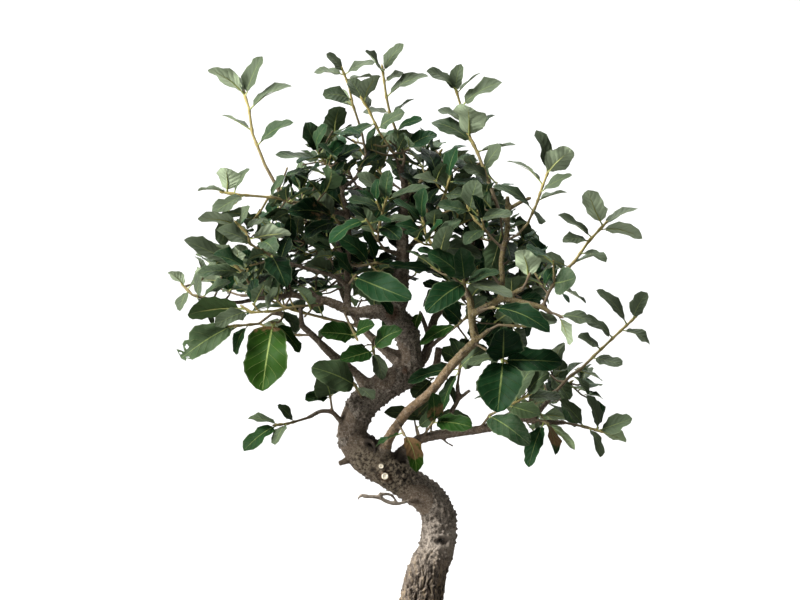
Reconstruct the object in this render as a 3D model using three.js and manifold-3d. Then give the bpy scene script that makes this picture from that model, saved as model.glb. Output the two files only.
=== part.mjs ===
// A cork oak grown as a bonsai, in a plain unglazed pot.
// Millimetres, +Z up. The origin is under the middle of the pot, on the surface that it stands on.
// The front of the tree looks along -Y.
import * as THREE from "three";
import { mergeVertices } from "three/addons/utils/BufferGeometryUtils.js";
import Module from "manifold-3d";

const wasm = await Module();
wasm.setup();

// The gap that pieces which touch keep between them
const SEAT_GAP = 0.3;

// Pot
const POT_LENGTH = 300;
const POT_DEPTH = 216;
const POT_HEIGHT = 66;
const POT_CORNER = 26;
const POT_FOOT_HEIGHT = 6;
const POT_FLOOR_TOP = 14;
const POT_RIM_BAND = 11;
const POT_RIM_WIDTH = 9;
const POT_TAPER = 12;
const FOOT_SIZE = [46, 32];
const FOOT_CORNER = 7;
const FOOT_INSET = [40, 30];
const DRAIN_RADIUS = 9;
const DRAIN_SPACING = 140;

// Drain screens, which lie over the drainage holes
const SCREEN_SIDE = 30;
const SCREEN_THICKNESS = 1.2;
const SCREEN_HOLE = 8;
const SCREEN_HOLES = 2;

// Soil
const SOIL_EDGE_TOP = 56;
const SOIL_CROWN_TOP = 61;
const SOIL_ROUGHNESS = 0.9;

// Bark and roots
const TRUNK_SIDES = 10;
const BARK_RELIEF = 0.07;
const TRUNK_TOLERANCE = 0.35;
const ROOT_COUNT = 5;
const ROOT_REACH = 46;
const FLARE_HEIGHT = 105;
const FLARE_SHARE = 0.34;

// Twigs and leaves
const TWIG_SIDES = 4;
const COLLAR = 1.25;
const FOOT_START = 9.6;
const PETIOLE_SHARE = 0.14;
const PETIOLE_RADIUS = 0.7;
const BLADE_THICKNESS = 1.3;
const LONG_LEAF = 38;
const SHORT_LEAF = 28;
const LEAF_CLEARANCE = 3.7;
const WOOD_CLEARANCE = 2.2;
const DEPTH_SWINGS = [0, 7, -7, 14, -14, 21, -21, 28];
const GOLDEN_ANGLE = Math.PI * (3 - Math.sqrt(5));

// Places on the tree are given in front view, as [across, depth, height]: where a point is seen in the
// upright plane through the trunk, by an eye at this distance and place, and how far behind it it lies.
const EYE_DISTANCE = 1500;
const EYE_ACROSS = -8;
const EYE_HEIGHT = 342;

const COLOURS = {
  bark: 0x6e645c,
  leaf: 0x34523a,
  clay: 0x6b4a3a,
  soil: 0x3d2f26,
  mesh: 0x2b2b2b,
};

// The wood, one limb a line: each point is [across, depth, height, radius]
const TRUNK = [
  [2, 2, 44, 19], [3, 2, 62, 18.5], [6, 1, 84, 17.4], [9, 0, 102, 17], [14, 0, 126, 15.6], [21, 0, 142, 14.4],
  [23, 0, 158, 14.2], [23, 0, 168, 13.8], [16.5, 0, 181.5, 13.2], [1, 0, 193.5, 13.4], [-16, 0, 205, 14],
  [-35, 1, 218, 15], [-46, 3, 233, 12], [-44, 3, 246, 12], [-37, 2, 259, 12.4], [-22, 1, 272, 12],
  [-3, 0, 284, 11.2], [0, 0, 302, 9.4], [-4, 0, 318, 9.6], [-12, 0, 330, 9.6], [-9, 2, 346, 7.4],
  [-6, 4, 374, 5.6], [-6, 6, 406, 4.2], [-4, 6, 433, 3.2], [-9, 4, 450, 2.5],
];
const LIMBS = {
  front: [
    [-24, -2, 212, 6], [-17, -12, 231, 4.7], [-10, -18, 242, 4.3], [-2, -24, 253, 4.1], [16, -34, 268, 4],
    [32, -40, 288, 4], [47, -42, 304, 3.9], [52, -42, 309, 3.8], [50, -40, 322, 3.5], [49, -38, 335, 3.3],
    [47, -36, 345, 3.1], [40, -34, 355, 2.8],
  ],
  frontThin: [[50, -42, 307, 2.6], [56, -45, 312, 2.2], [63, -50, 318, 2]],
  frontRight: [
    [49, -38, 330, 3.2], [56, -44, 334, 3], [66, -48, 339, 2.9], [74, -52, 343, 2.8], [90, -56, 340, 2.5],
    [106, -60, 336, 2.2], [112, -62, 332, 2],
  ],
  frontRightFork: [[74, -52, 343, 2.5], [82, -55, 347, 2.3], [90, -58, 351, 2.1]],
  rightRiser: [
    [72, -51, 342, 2.6], [74, -48, 358, 2.5], [73, -46, 373, 2.4], [76, -42, 388, 2.4], [78, -40, 398, 2.3],
    [78, -38, 412, 2.2], [78, -36, 425, 2],
  ],
  rightRiserStub: [[78, -38, 414, 2], [88, -39, 420, 1.8], [97, -40, 424, 1.6]],
  second: [
    [2, 2, 288, 6], [12, 10, 297, 4.4], [16, 16, 312, 4], [20, 24, 328, 3.6], [34, 36, 344, 3.1],
    [44, 48, 362, 2.6], [50, 58, 384, 2.2],
  ],
  secondFork: [[16, 15, 310, 2.6], [12, 14, 322, 2.2], [8, 14, 332, 2]],
  secondThin: [[12, 8, 298, 2.4], [18, -2, 306, 2], [28, -8, 314, 1.8]],
  lowRight: [
    [-14, 0, 210, 6.5], [-2, -6, 224, 4.8], [9, -8, 231, 4.3], [24, -12, 234, 3.9], [40, -15, 236, 3.6],
    [55, -18, 238, 3.4], [72, -22, 241, 3.1], [90, -26, 247, 2.8], [99, -28, 245, 2.6], [111, -30, 244, 2.4],
    [123, -32, 244, 2.2],
  ],
  lowRightRiser: [[30, -13, 235, 2.8], [33, -16, 252, 2.3], [38, -18, 262, 2.1], [38, -20, 274, 1.9]],
  lowRightSide: [[38, -18, 262, 1.9], [43, -19, 266, 1.7], [48, -20, 270, 1.6]],
  farRight: [[97, -28, 245, 2.6], [106, -31, 256, 2.2], [116, -34, 268, 2]],
  leftMain: [
    [-12, 0, 330, 8], [-30, -3, 333, 5.8], [-44, -4, 332, 4.8], [-54, -6, 336, 4.3], [-66, -8, 341, 3.9],
    [-82, -10, 344, 3.1], [-95, -12, 346, 2.6], [-109, -14, 344, 2.3], [-122, -14, 343, 2], [-138, -16, 340, 1.8],
    [-154, -16, 342, 1.6],
  ],
  leftRiser: [
    [-50, -4, 334, 3.6], [-50, -1, 344, 3.2], [-50, 0, 354, 3], [-50, 2, 369, 2.8], [-49, 4, 388, 2.6],
    [-50, 6, 412, 2.4], [-54, 8, 430, 2.1], [-43, 8, 440, 1.9], [-35, 8, 458, 1.7],
  ],
  leftRiserStub: [[-50, 2, 368, 2.4], [-54, 0, 377, 2.3], [-59, -2, 387, 2]],
  upperLeft: [[-50, 6, 410, 2.6], [-62, 4, 413, 2.4], [-74, 2, 416, 2.2], [-91, -2, 418, 2]],
  leftTwig: [
    [-50, -1, 352, 2.4], [-57, -8, 359, 2.1], [-67, -12, 363, 2], [-79, -15, 366, 1.9], [-92, -18, 370, 1.8],
    [-102, -20, 373, 1.7],
  ],
  leftLow: [
    [-28, 0, 268, 6], [-38, 0, 279, 3.9], [-54, -2, 291, 3.5], [-65, -4, 300, 3.2], [-75, -6, 311, 3],
    [-91, -10, 325, 2.7], [-100, -12, 330, 2.6], [-109, -14, 332, 2.4],
  ],
  leftLowStub: [[-86, -9, 321, 2.2], [-87, -11, 329, 2], [-88, -12, 337, 1.8]],
  leftBottom: [
    [-46, 0, 240, 4], [-56, -4, 246, 2.5], [-62, -6, 252, 2.1], [-71, -8, 253, 1.9], [-81, -10, 248, 1.8],
  ],
  deadTwig: [
    [6, -10, 182, 2.4], [-2, -15, 181, 1.7], [-10, -19, 179, 1.5], [-17, -21, 180, 1.4], [-25, -22, 184, 1.3],
    [-37, -24, 185, 1.1],
  ],
  deadTwigFork: [[-10, -19, 179, 1.3], [-15, -21, 186, 1.2], [-25, -23, 187, 1]],
  trunkStub: [[12, -2, 282, 4], [20, -5, 288, 3.4], [23, -6, 304, 3]],
  leftStub: [[-44, -2, 216, 3.4], [-52, -4, 213, 2.7], [-57, -5, 211, 2.4]],
  hookStub: [[-38, -8, 228, 2.6], [-31, -15, 229, 1.9], [-28, -18, 224, 1.7], [-28, -18, 219, 1.4]],
  cupStub: [[-20, -4, 280, 3.8], [-24, -12, 284, 3.4], [-27, -15, 285, 3.2]],
  cutStubLarge: [[-18, -6, 203, 3.4], [-20, -16, 201, 2.8], [-20, -17.5, 201, 2.7]],
  cutStubSmall: [[-22, -6, 210, 2.6], [-23, -15, 209, 2], [-23, -16.5, 209, 1.9]],
  knotStub: [[-8, 0, 357, 3.6], [-10, -8, 358, 3.4], [-10, -9.5, 358, 3.2]],
  innerTwig: [[-7, -4, 298, 3], [-16, -10, 302, 2.3], [-22, -14, 305, 2.1], [-28, -15, 313, 2]],
  centreLeft: [[-6, 4, 378, 3], [-13, -3, 380, 2.1], [-20, -10, 382, 1.8]],
  centreRight: [[-6, 6, 404, 2.8], [1, 0, 401, 2], [8, -4, 400, 1.8]],
  backLeft: [[-4, 2, 288, 6], [-18, 26, 300, 4.2], [-38, 46, 320, 3.3], [-52, 58, 342, 2.7], [-58, 66, 362, 2.2]],
  backHigh: [[-6, 4, 376, 3.4], [0, 26, 384, 2.7], [10, 44, 398, 2.3], [14, 54, 414, 2]],
  backLeftLow: [[-32, 4, 264, 6], [-42, 24, 282, 3.8], [-58, 40, 296, 3], [-78, 50, 314, 2.4]],
  backRightLow: [[-8, 4, 204, 7], [0, 24, 226, 4.2], [26, 40, 236, 3.3], [58, 48, 240, 2.7], [82, 52, 252, 2.2]],
  backUpperLeft: [[-6, 6, 398, 3], [-22, 24, 414, 2.3], [-42, 36, 432, 2]],
};

// The leafy shoots. A path starts on the wood; a leaf is [place along the shoot, then its tip's across,
// depth and height, its width, and how far its upper face turns from the front, in degrees].
// 0 shows the upper face, 90 the edge and 180 the underside. "more" leaves follow by rule.
const SHOOTS = {
  upper_left: {
    path: [[-91, -2, 418], [-104, -3, 428], [-116, -2, 450], [-126, 2, 475], [-129, 6, 496], [-133, 10, 508]],
    leaves: [
      [0.98, -162, 2, 526, 15, 128], [0.97, -118, 4, 537, 15, 42], [0.95, -143, 18, 525, 8, 60],
      [0.84, -94, 2, 513, 14, 60], [0.66, -151, 8, 490, 14, 80], [0.52, -93, -14, 484, 14, 50],
    ],
    more: 0,
  },
  upper_left_side: {
    path: [[-74, 2, 416], [-86, -12, 419], [-109, -18, 424], [-134, -20, 426], [-149, -20, 428]],
    leaves: [
      [0.98, -148, -28, 448, 19, 155], [0.9, -128, -32, 447, 14, 62], [0.78, -158, -34, 411, 15, 42],
      [0.96, -170, -16, 429, 12, 82], [0.5, -100, -34, 441, 10, 50],
    ],
    more: 0,
  },
  left_middle: {
    path: [[-102, -20, 373], [-120, -26, 382], [-128, -28, 387], [-131, -28, 396], [-138, -28, 403]],
    leaves: [
      [0.98, -170, -36, 407, 14, 125], [0.96, -128, -40, 417, 11, 55], [0.82, -116, -26, 407, 10, 55],
      [0.9, -182, -22, 400, 13, 80], [0.5, -155, -42, 398, 16, 42], [0.62, -95, -38, 395, 15, 130],
      [0.1, -131, -46, 372, 12, 118], [0.02, -99, -52, 352, 19, 18],
    ],
    more: 0,
  },
  left_middle_low: {
    path: [[-122, -14, 343], [-127, -20, 353], [-134, -25, 364], [-142, -28, 372]],
    leaves: [
      [0.98, -181, -44, 390, 17, 40], [0.93, -160, -28, 388, 14, 55], [0.88, -140, -44, 385, 14, 118],
      [0.6, -170, -32, 363, 15, 45],
    ],
    more: 0,
  },
  left_tip: {
    path: [[-154, -16, 342], [-166, -14, 344], [-174, -11, 346], [-181, -8, 353]],
    leaves: [
      [0.98, -194, -14, 364, 12, 130], [0.86, -155, -24, 372, 12, 60], [0.8, -184, -22, 333, 11, 40],
      [0.35, -168, -32, 362, 11, 40], [0.15, -143, -36, 356, 12, 50], [0.45, -158, -30, 322, 11, 55],
    ],
    more: 0,
  },
  left_low_front: {
    path: [[-66, -8, 341], [-72, -15, 338], [-90, -21, 337], [-110, -27, 333], [-127, -30, 332], [-133, -30, 336]],
    leaves: [
      [0.98, -178, -42, 330, 18, 150], [0.93, -156, -48, 321, 15, 35], [0.5, -92, -40, 316, 13, 50],
      [0.7, -106, -40, 352, 11, 55],
    ],
    more: 0,
  },
  left_low_lobe: {
    path: [[-109, -14, 332], [-121, -18, 323], [-131, -22, 322], [-144, -26, 321]],
    leaves: [[0.97, -183, -40, 295, 24, 28], [0.5, -139, -36, 298, 13, 50], [0.8, -160, -22, 303, 13, 60]],
    more: 0,
  },
  left_low_bright: {
    path: [[-100, -12, 330], [-105, -20, 324], [-110, -27, 324]],
    leaves: [[0.97, -118, -44, 269, 34, 14], [0.9, -88, -34, 300, 14, 50]],
    more: 0,
  },
  left_low_inner: {
    path: [[-54, -6, 336], [-49, -14, 324], [-43, -20, 312]],
    leaves: [[0.97, -72, -32, 316, 18, 30], [0.6, -84, -18, 320, 15, 25], [0.94, -28, -34, 322, 14, 45]],
    more: 0,
  },
  trunk_left: {
    path: [[-37, -6, 262], [-41, -17, 268], [-44, -23, 274]],
    leaves: [[0.97, -79, -38, 288, 24, 22], [0.9, -30, -42, 262, 12, 50]],
    more: 0,
  },
  bottom_left: {
    path: [[-62, -6, 252], [-63, -9, 259], [-64, -12, 266]],
    leaves: [[0.97, -71, -24, 285, 23, 15], [0.9, -42, -22, 274, 12, 60], [0.8, -84, -22, 262, 13, 45]],
    more: 0,
  },
  bottom_left_tip: {
    path: [[-81, -10, 248], [-91, -16, 245], [-98, -22, 243], [-107, -28, 242]],
    leaves: [
      [0.97, -133, -42, 221, 16, 45], [0.95, -130, -30, 247, 11, 60], [0.2, -106, -24, 258, 11, 52],
      [0.6, -108, -44, 226, 12, 50],
    ],
    more: 0,
  },
  top_left: {
    path: [[-35, 8, 458], [-39, 6, 478], [-46, 4, 499], [-49, 4, 514], [-54, 2, 526]],
    leaves: [
      [0.98, -67, -6, 539, 12, 50], [0.95, -77, 6, 524, 11, 55], [0.95, -28, -2, 532, 12, 55],
      [0.88, -26, 12, 520, 10, 78], [0.6, -70, -8, 506, 15, 35], [0.5, -60, 14, 508, 12, 120],
    ],
    more: 0,
  },
  top_inner: {
    path: [[-9, 4, 450], [-14, -1, 461], [-25, -5, 477], [-33, -8, 494], [-38, -10, 502]],
    leaves: [
      [0.98, -25, -20, 522, 15, 130], [0.96, -48, -22, 519, 14, 30], [0.8, -46, 0, 512, 10, 50],
      [0.6, -52, -18, 472, 13, 50], [0.5, -4, -22, 492, 14, 45],
    ],
    more: 0,
  },
  top_centre: {
    path: [[-7, 6, 444], [-4, 13, 456], [-9, 10, 471], [-16, 7, 491], [-19, 4, 505], [-22, 0, 527]],
    leaves: [
      [0.98, -5, -8, 547, 13, 45], [0.98, -36, -4, 541, 12, 60], [0.88, -5, 2, 524, 9, 50],
      [0.72, 15, -6, 521, 14, 52], [0.56, -38, 10, 492, 12, 60], [0.5, 4, 14, 503, 11, 80],
      [0.35, 10, -6, 486, 12, 55],
    ],
    more: 0,
  },
  top_right: {
    path: [
      [78, -39, 405], [72, -30, 410], [69, -25, 420], [62, -17, 439], [54, -8, 460], [46, -4, 476], [41, 0, 496],
      [36, 2, 513],
    ],
    leaves: [
      [0.98, 13, -8, 525, 14, 50], [0.97, 41, -12, 531, 11, 30], [0.96, 57, 8, 524, 10, 80],
      [0.86, 74, -10, 516, 16, 48], [0.64, 46, -30, 497, 23, 148], [0.75, 22, -4, 494, 11, 50],
      [0.58, 17, 2, 484, 15, 35], [0.52, 85, -12, 466, 14, 80], [0.38, 73, -28, 466, 15, 45],
      [0.28, 42, -36, 448, 13, 40], [0.66, 68, 6, 490, 11, 60],
    ],
    more: 0,
  },
  right_high: {
    path: [[76, -42, 389], [86, -46, 394], [94, -48, 403], [101, -50, 418], [106, -52, 433], [111, -52, 446]],
    leaves: [
      [0.98, 130, -62, 462, 20, 150], [0.97, 101, -48, 478, 15, 40], [0.8, 77, -46, 453, 13, 78],
      [0.58, 126, -44, 428, 13, 80], [0.42, 66, -62, 433, 12, 50], [0.45, 103, -68, 403, 12, 50],
      [0.7, 130, -64, 442, 13, 55],
    ],
    more: 0,
  },
  right_middle: {
    path: [[106, -60, 336], [111, -60, 348], [118, -58, 360], [131, -52, 372], [143, -46, 389], [156, -38, 403]],
    leaves: [
      [0.98, 142, -52, 430, 18, 138], [0.97, 183, -40, 415, 11, 60], [0.92, 186, -34, 391, 14, 125],
      [0.8, 118, -54, 410, 12, 58], [0.74, 122, -66, 388, 11, 42], [0.58, 157, -62, 372, 13, 58],
      [0.45, 152, -40, 378, 12, 80], [0.38, 100, -72, 376, 12, 125], [0.15, 133, -82, 360, 20, 20],
      [0.12, 141, -64, 339, 12, 80],
    ],
    more: 0,
  },
  right_inner: {
    path: [[90, -58, 351], [93, -62, 356], [95, -66, 361]],
    leaves: [[0.97, 88, -76, 382, 20, 145], [0.9, 106, -72, 389, 12, 55]],
    more: 0,
  },
  right_front: {
    path: [[56, -44, 334], [61, -52, 335], [66, -59, 336]],
    leaves: [[0.97, 112, -82, 316, 18, 30], [0.9, 84, -66, 308, 14, 50]],
    more: 0,
  },
  right_end: {
    path: [[112, -62, 332], [116, -65, 331], [120, -68, 329]],
    leaves: [[0.97, 128, -78, 306, 12, 120], [0.9, 146, -74, 324, 13, 45]],
    more: 0,
  },
  far_right: {
    path: [[116, -34, 268], [127, -32, 280], [138, -28, 288], [149, -22, 299], [166, -14, 315], [180, -8, 328]],
    leaves: [
      [0.98, 190, -18, 348, 15, 42], [0.9, 149, -24, 350, 15, 50], [0.82, 192, -14, 306, 13, 55],
      [0.7, 138, -30, 328, 14, 52], [0.52, 134, -40, 312, 13, 55], [0.4, 170, -38, 290, 14, 48],
      [0.2, 154, -24, 277, 11, 80], [0.12, 142, -50, 266, 11, 58],
    ],
    more: 0,
  },
  low_right_inner: {
    path: [[55, -18, 238], [64, -27, 250], [84, -37, 260], [95, -41, 266]],
    leaves: [
      [0.98, 112, -54, 284, 15, 40], [0.94, 121, -50, 264, 14, 52], [0.75, 100, -50, 290, 14, 35],
      [0.6, 104, -60, 250, 15, 30], [0.4, 64, -44, 272, 13, 50], [0.15, 96, -60, 226, 21, 24],
    ],
    more: 0,
  },
  low_right_tip: {
    path: [[123, -32, 244], [133, -36, 242], [142, -42, 240], [152, -46, 237]],
    leaves: [
      [0.97, 141, -54, 266, 14, 50], [0.98, 178, -56, 247, 16, 40], [0.93, 173, -44, 228, 12, 125],
      [0.6, 152, -62, 216, 12, 50], [0.4, 120, -54, 262, 14, 45],
    ],
    more: 0,
  },
  low_right_hanging: {
    path: [[99, -28, 245], [103, -36, 246], [109, -43, 244]],
    leaves: [[0.8, 95, -54, 208, 15, 38], [0.95, 116, -58, 218, 13, 50], [0.97, 132, -50, 222, 11, 120]],
    more: 0,
  },
  right_centre: {
    path: [[51, -42, 308], [61, -51, 302], [69, -57, 297], [76, -61, 293]],
    leaves: [
      [0.97, 70, -78, 252, 33, 12], [0.98, 122, -74, 292, 21, 28], [0.95, 75, -78, 320, 29, 15],
      [0.9, 46, -74, 290, 12, 58],
    ],
    more: 0,
  },
  right_thin: {
    path: [[63, -50, 318], [71, -53, 322], [90, -57, 321]],
    leaves: [[0.97, 118, -60, 326, 15, 35], [0.6, 92, -66, 303, 14, 45]],
    more: 0,
  },
  centre_low: {
    path: [[38, -20, 274], [39, -22, 281], [40, -25, 289]],
    leaves: [
      [0.9, 62, -40, 304, 18, 28], [0.7, -2, -38, 276, 14, 45], [0.5, 26, -42, 252, 12, 50],
      [0.98, 32, -36, 312, 14, 40],
    ],
    more: 0,
  },
  centre_low_front: {
    path: [[9, -8, 231], [14, -18, 238], [19, -24, 245]],
    leaves: [[0.95, 50, -42, 240, 17, 38], [0.97, 18, -36, 268, 15, 30], [0.8, -18, -38, 254, 14, 40]],
    more: 0,
  },
  centre_brown: {
    path: [[-10, -18, 242], [-7, -26, 239], [-5, -32, 235]],
    leaves: [[0.9, -28, -46, 224, 14, 35], [0.97, 5, -46, 204, 15, 30]],
    more: 0,
  },
  centre_upper: {
    path: [[40, -34, 355], [33, -38, 362], [26, -40, 373], [18, -40, 386], [13, -38, 393], [10, -36, 407]],
    leaves: [
      [0.6, 41, -50, 406, 14, 48], [0.5, 58, -58, 376, 17, 40], [0.68, -12, -54, 402, 13, 52],
      [0.98, 12, -44, 432, 14, 48], [0.9, -14, -40, 422, 12, 60],
    ],
    more: 0,
  },
  centre_cluster: {
    path: [[47, -36, 345], [45, -44, 351], [43, -51, 357]],
    leaves: [
      [0.97, 14, -66, 380, 18, 30], [0.95, 40, -68, 384, 19, 25], [0.85, 72, -60, 364, 13, 55],
      [0.93, 82, -72, 344, 14, 50], [0.8, 13, -70, 332, 21, 25],
    ],
    more: 0,
  },
  centre_left: {
    path: [[-20, -10, 382], [-26, -17, 390], [-24, -23, 404], [-21, -26, 416], [-18, -27, 425]],
    leaves: [
      [0.98, -16, -38, 446, 14, 40], [0.95, 16, -36, 432, 12, 58], [0.7, -50, -36, 422, 13, 52],
      [0.93, -43, -32, 443, 15, 45], [0.5, 2, -38, 406, 12, 55], [0.35, -8, -48, 390, 16, 25],
    ],
    more: 0,
  },
  centre_right: {
    path: [[8, -4, 400], [16, -9, 407], [22, -12, 415], [28, -14, 427], [32, -16, 440]],
    leaves: [
      [0.65, 48, -30, 424, 14, 42], [0.8, 2, -26, 440, 12, 50], [0.94, 58, -26, 434, 13, 52],
      [0.98, 38, -22, 464, 14, 48],
    ],
    more: 0,
  },
  centre_leaf: {
    path: [[-50, 0, 354], [-47, -10, 357], [-44, -18, 361]],
    leaves: [[0.97, 1, -48, 342, 24, 24], [0.7, -14, -34, 330, 15, 42], [0.9, -62, -36, 380, 13, 50]],
    more: 0,
  },
  centre_twig: {
    path: [[-50, 2, 371], [-42, -4, 369], [-35, -6, 370], [-27, -8, 372], [-20, -8, 370]],
    leaves: [[0.98, 18, -14, 366, 13, 52], [0.7, -38, -18, 397, 14, 52], [0.45, -58, -24, 392, 15, 30]],
    more: 0,
  },
  left_dark: {
    path: [[-49, 4, 390], [-54, -4, 399], [-60, -10, 408]],
    leaves: [[0.97, -98, -28, 412, 19, 28], [0.93, -82, -24, 430, 17, 25], [0.7, -84, -22, 392, 15, 40]],
    more: 0,
  },
  left_curled: {
    path: [[-54, 8, 430], [-61, 3, 441], [-68, 0, 452], [-74, -2, 461]],
    leaves: [
      [0.98, -84, -12, 484, 15, 30], [0.95, -66, -16, 482, 13, 58], [0.6, -52, -20, 467, 15, 35],
      [0.9, -46, 2, 482, 11, 80], [0.7, -108, -10, 458, 13, 55],
    ],
    more: 0,
  },
  centre_dark: {
    path: [[75, -44, 382], [67, -42, 390], [60, -41, 398], [52, -40, 406], [47, -40, 415]],
    leaves: [
      [0.95, 22, -48, 418, 13, 40], [0.98, 54, -54, 438, 18, 20], [0.7, 82, -56, 410, 13, 50],
      [0.4, 44, -58, 386, 13, 45],
    ],
    more: 0,
  },
  inner_left: {
    path: [[-28, -15, 313], [-30, -19, 307], [-29, -23, 300]],
    leaves: [[0.9, -56, -34, 294, 16, 30], [0.97, -22, -38, 278, 12, 25], [0.6, -6, -36, 318, 16, 30]],
    more: 0,
  },
  inner_olive: {
    path: [[28, -8, 314], [37, -13, 321], [45, -17, 328]],
    leaves: [[0.6, 26, -30, 338, 16, 25], [0.4, 8, -26, 306, 12, 40], [0.97, 62, -24, 344, 13, 45]],
    more: 0,
  },
  inner_top: { path: [[-5, 6, 420], [3, 14, 430], [13, 18, 444], [24, 18, 460]], leaves: [], more: 4 },
  inner_top_left: { path: [[-4, 6, 428], [-18, 18, 438], [-32, 24, 452], [-44, 26, 468]], leaves: [], more: 4 },
  inner_high_left: { path: [[-6, 6, 394], [-24, 18, 400], [-42, 24, 406], [-62, 26, 416]], leaves: [], more: 4 },
  inner_mid_left: { path: [[-6, 4, 366], [-26, 16, 372], [-52, 24, 378], [-84, 26, 388]], leaves: [], more: 5 },
  inner_high_right: { path: [[-6, 4, 384], [12, 12, 390], [32, 12, 398], [50, 10, 408]], leaves: [], more: 4 },
  inner_low_right: { path: [[24, 27, 333], [36, 16, 342], [50, 8, 352], [66, 4, 364]], leaves: [], more: 4 },
  back_right: { path: [[50, 58, 384], [55, 62, 404], [58, 62, 428]], leaves: [], more: 5 },
  back_right_middle: { path: [[34, 36, 344], [56, 46, 350], [84, 50, 356], [108, 52, 364]], leaves: [], more: 5 },
  back_left: { path: [[-58, 66, 362], [-68, 66, 386], [-74, 64, 408]], leaves: [], more: 5 },
  back_left_middle: { path: [[-38, 46, 320], [-62, 50, 326], [-94, 52, 334], [-122, 50, 346]], leaves: [], more: 5 },
  back_high: { path: [[14, 54, 414], [20, 58, 434], [24, 56, 458]], leaves: [], more: 5 },
  back_low_left: { path: [[-78, 50, 314], [-98, 54, 314], [-118, 52, 322]], leaves: [], more: 5 },
  back_low_right: { path: [[82, 52, 252], [104, 56, 262], [128, 54, 276]], leaves: [], more: 5 },
  back_upper_left: { path: [[-42, 36, 432], [-54, 42, 454], [-62, 42, 478]], leaves: [], more: 5 },
};

// A repeatable stream of draws between 0 and 1
function draws(seed) {
  const modulus = 2147483647;
  let state = (seed * 48271 + 11) % modulus;
  return () => {
    state = (state * 16807) % modulus;
    return state / modulus;
  };
}

const mix = THREE.MathUtils.lerp;

// The place of a point that is given in front view
function place([across, depth, height]) {
  const scale = (EYE_DISTANCE + depth) / EYE_DISTANCE;
  return new THREE.Vector3(
    EYE_ACROSS + (across - EYE_ACROSS) * scale,
    depth,
    EYE_HEIGHT + (height - EYE_HEIGHT) * scale,
  );
}

// The part of a vector that is square to a unit direction, made a unit vector
function squareTo(direction, vector) {
  return vector.clone().addScaledVector(direction, -vector.dot(direction)).normalize();
}

// A closed solid through rings of points, which run counter-clockwise about the way they advance.
// A last point closes it at the end instead of a flat cap. Odd sides take the other diagonal, so the
// two faces of a four-cornered blade are split alike.
function loft(rings, point) {
  const sides = rings[0].length;
  const vertices = rings.flat();
  const faces = [];
  for (let i = 0; i < rings.length - 1; i++) {
    for (let j = 0; j < sides; j++) {
      const a = i * sides + j;
      const b = i * sides + ((j + 1) % sides);
      const c = b + sides;
      const d = a + sides;
      if (j % 2) faces.push(a, b, d, b, c, d);
      else faces.push(a, b, c, a, c, d);
    }
  }
  const last = (rings.length - 1) * sides;
  for (let j = 1; j < sides - 1; j++) {
    faces.push(0, j + 1, j);
    if (!point) faces.push(last, last + j, last + j + 1);
  }
  if (point) {
    vertices.push(point);
    for (let j = 0; j < sides; j++) faces.push(last + j, last + ((j + 1) % sides), last + sides);
  }
  const geometry = new THREE.BufferGeometry().setFromPoints(vertices);
  geometry.setIndex(faces);
  return geometry;
}

// Geometry as a solid that can be joined and cut
function solid(geometry) {
  const bare = geometry.clone();
  bare.deleteAttribute("normal");
  bare.deleteAttribute("uv");
  const merged = mergeVertices(bare, 1e-4);
  const vertProperties = new Float32Array(merged.attributes.position.array);
  const triVerts = new Uint32Array(merged.index.array);
  return new wasm.Manifold(new wasm.Mesh({ numProp: 3, vertProperties, triVerts }));
}

const join = (solids) => wasm.Manifold.union(solids);

// The largest of a solid's bodies: what is cut loose by a join is dropped
function mainBody(shape) {
  return shape.decompose().sort((a, b) => b.volume() - a.volume())[0];
}

function mesh(name, shape, colour, roughness) {
  const { vertProperties, triVerts } = shape.getMesh();
  const geometry = new THREE.BufferGeometry();
  geometry.setAttribute("position", new THREE.BufferAttribute(vertProperties, 3));
  geometry.setIndex(new THREE.BufferAttribute(triVerts, 1));
  geometry.computeVertexNormals();
  const material = new THREE.MeshStandardMaterial({ color: colour, roughness, metalness: 0 });
  const piece = new THREE.Mesh(geometry, material);
  piece.name = name;
  return piece;
}

// A ring of points in a rounded oblong, level at a height
function oblong(halfLength, halfDepth, corner, height, steps = 4) {
  const ring = [];
  const corners = [[1, 1], [-1, 1], [-1, -1], [1, -1]];
  corners.forEach(([sx, sy], quarter) => {
    for (let i = 0; i <= steps; i++) {
      const angle = (quarter + i / steps) * (Math.PI / 2);
      const x = sx * (halfLength - corner) + corner * Math.cos(angle);
      const y = sy * (halfDepth - corner) + corner * Math.sin(angle);
      ring.push(new THREE.Vector3(x, y, height));
    }
  });
  return ring;
}

// An oblong ring set in from the pot's outline
function potRing(inset, height) {
  return oblong(POT_LENGTH / 2 - inset, POT_DEPTH / 2 - inset, POT_CORNER - inset * 0.4, height);
}

// How far the pot's inside wall is set in at a height
function wallInset(height) {
  return mix(POT_TAPER + 8, POT_RIM_WIDTH, (height - POT_FLOOR_TOP) / (POT_HEIGHT - POT_FLOOR_TOP));
}

const drainPlaces = [-DRAIN_SPACING / 2, DRAIN_SPACING / 2];

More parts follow.
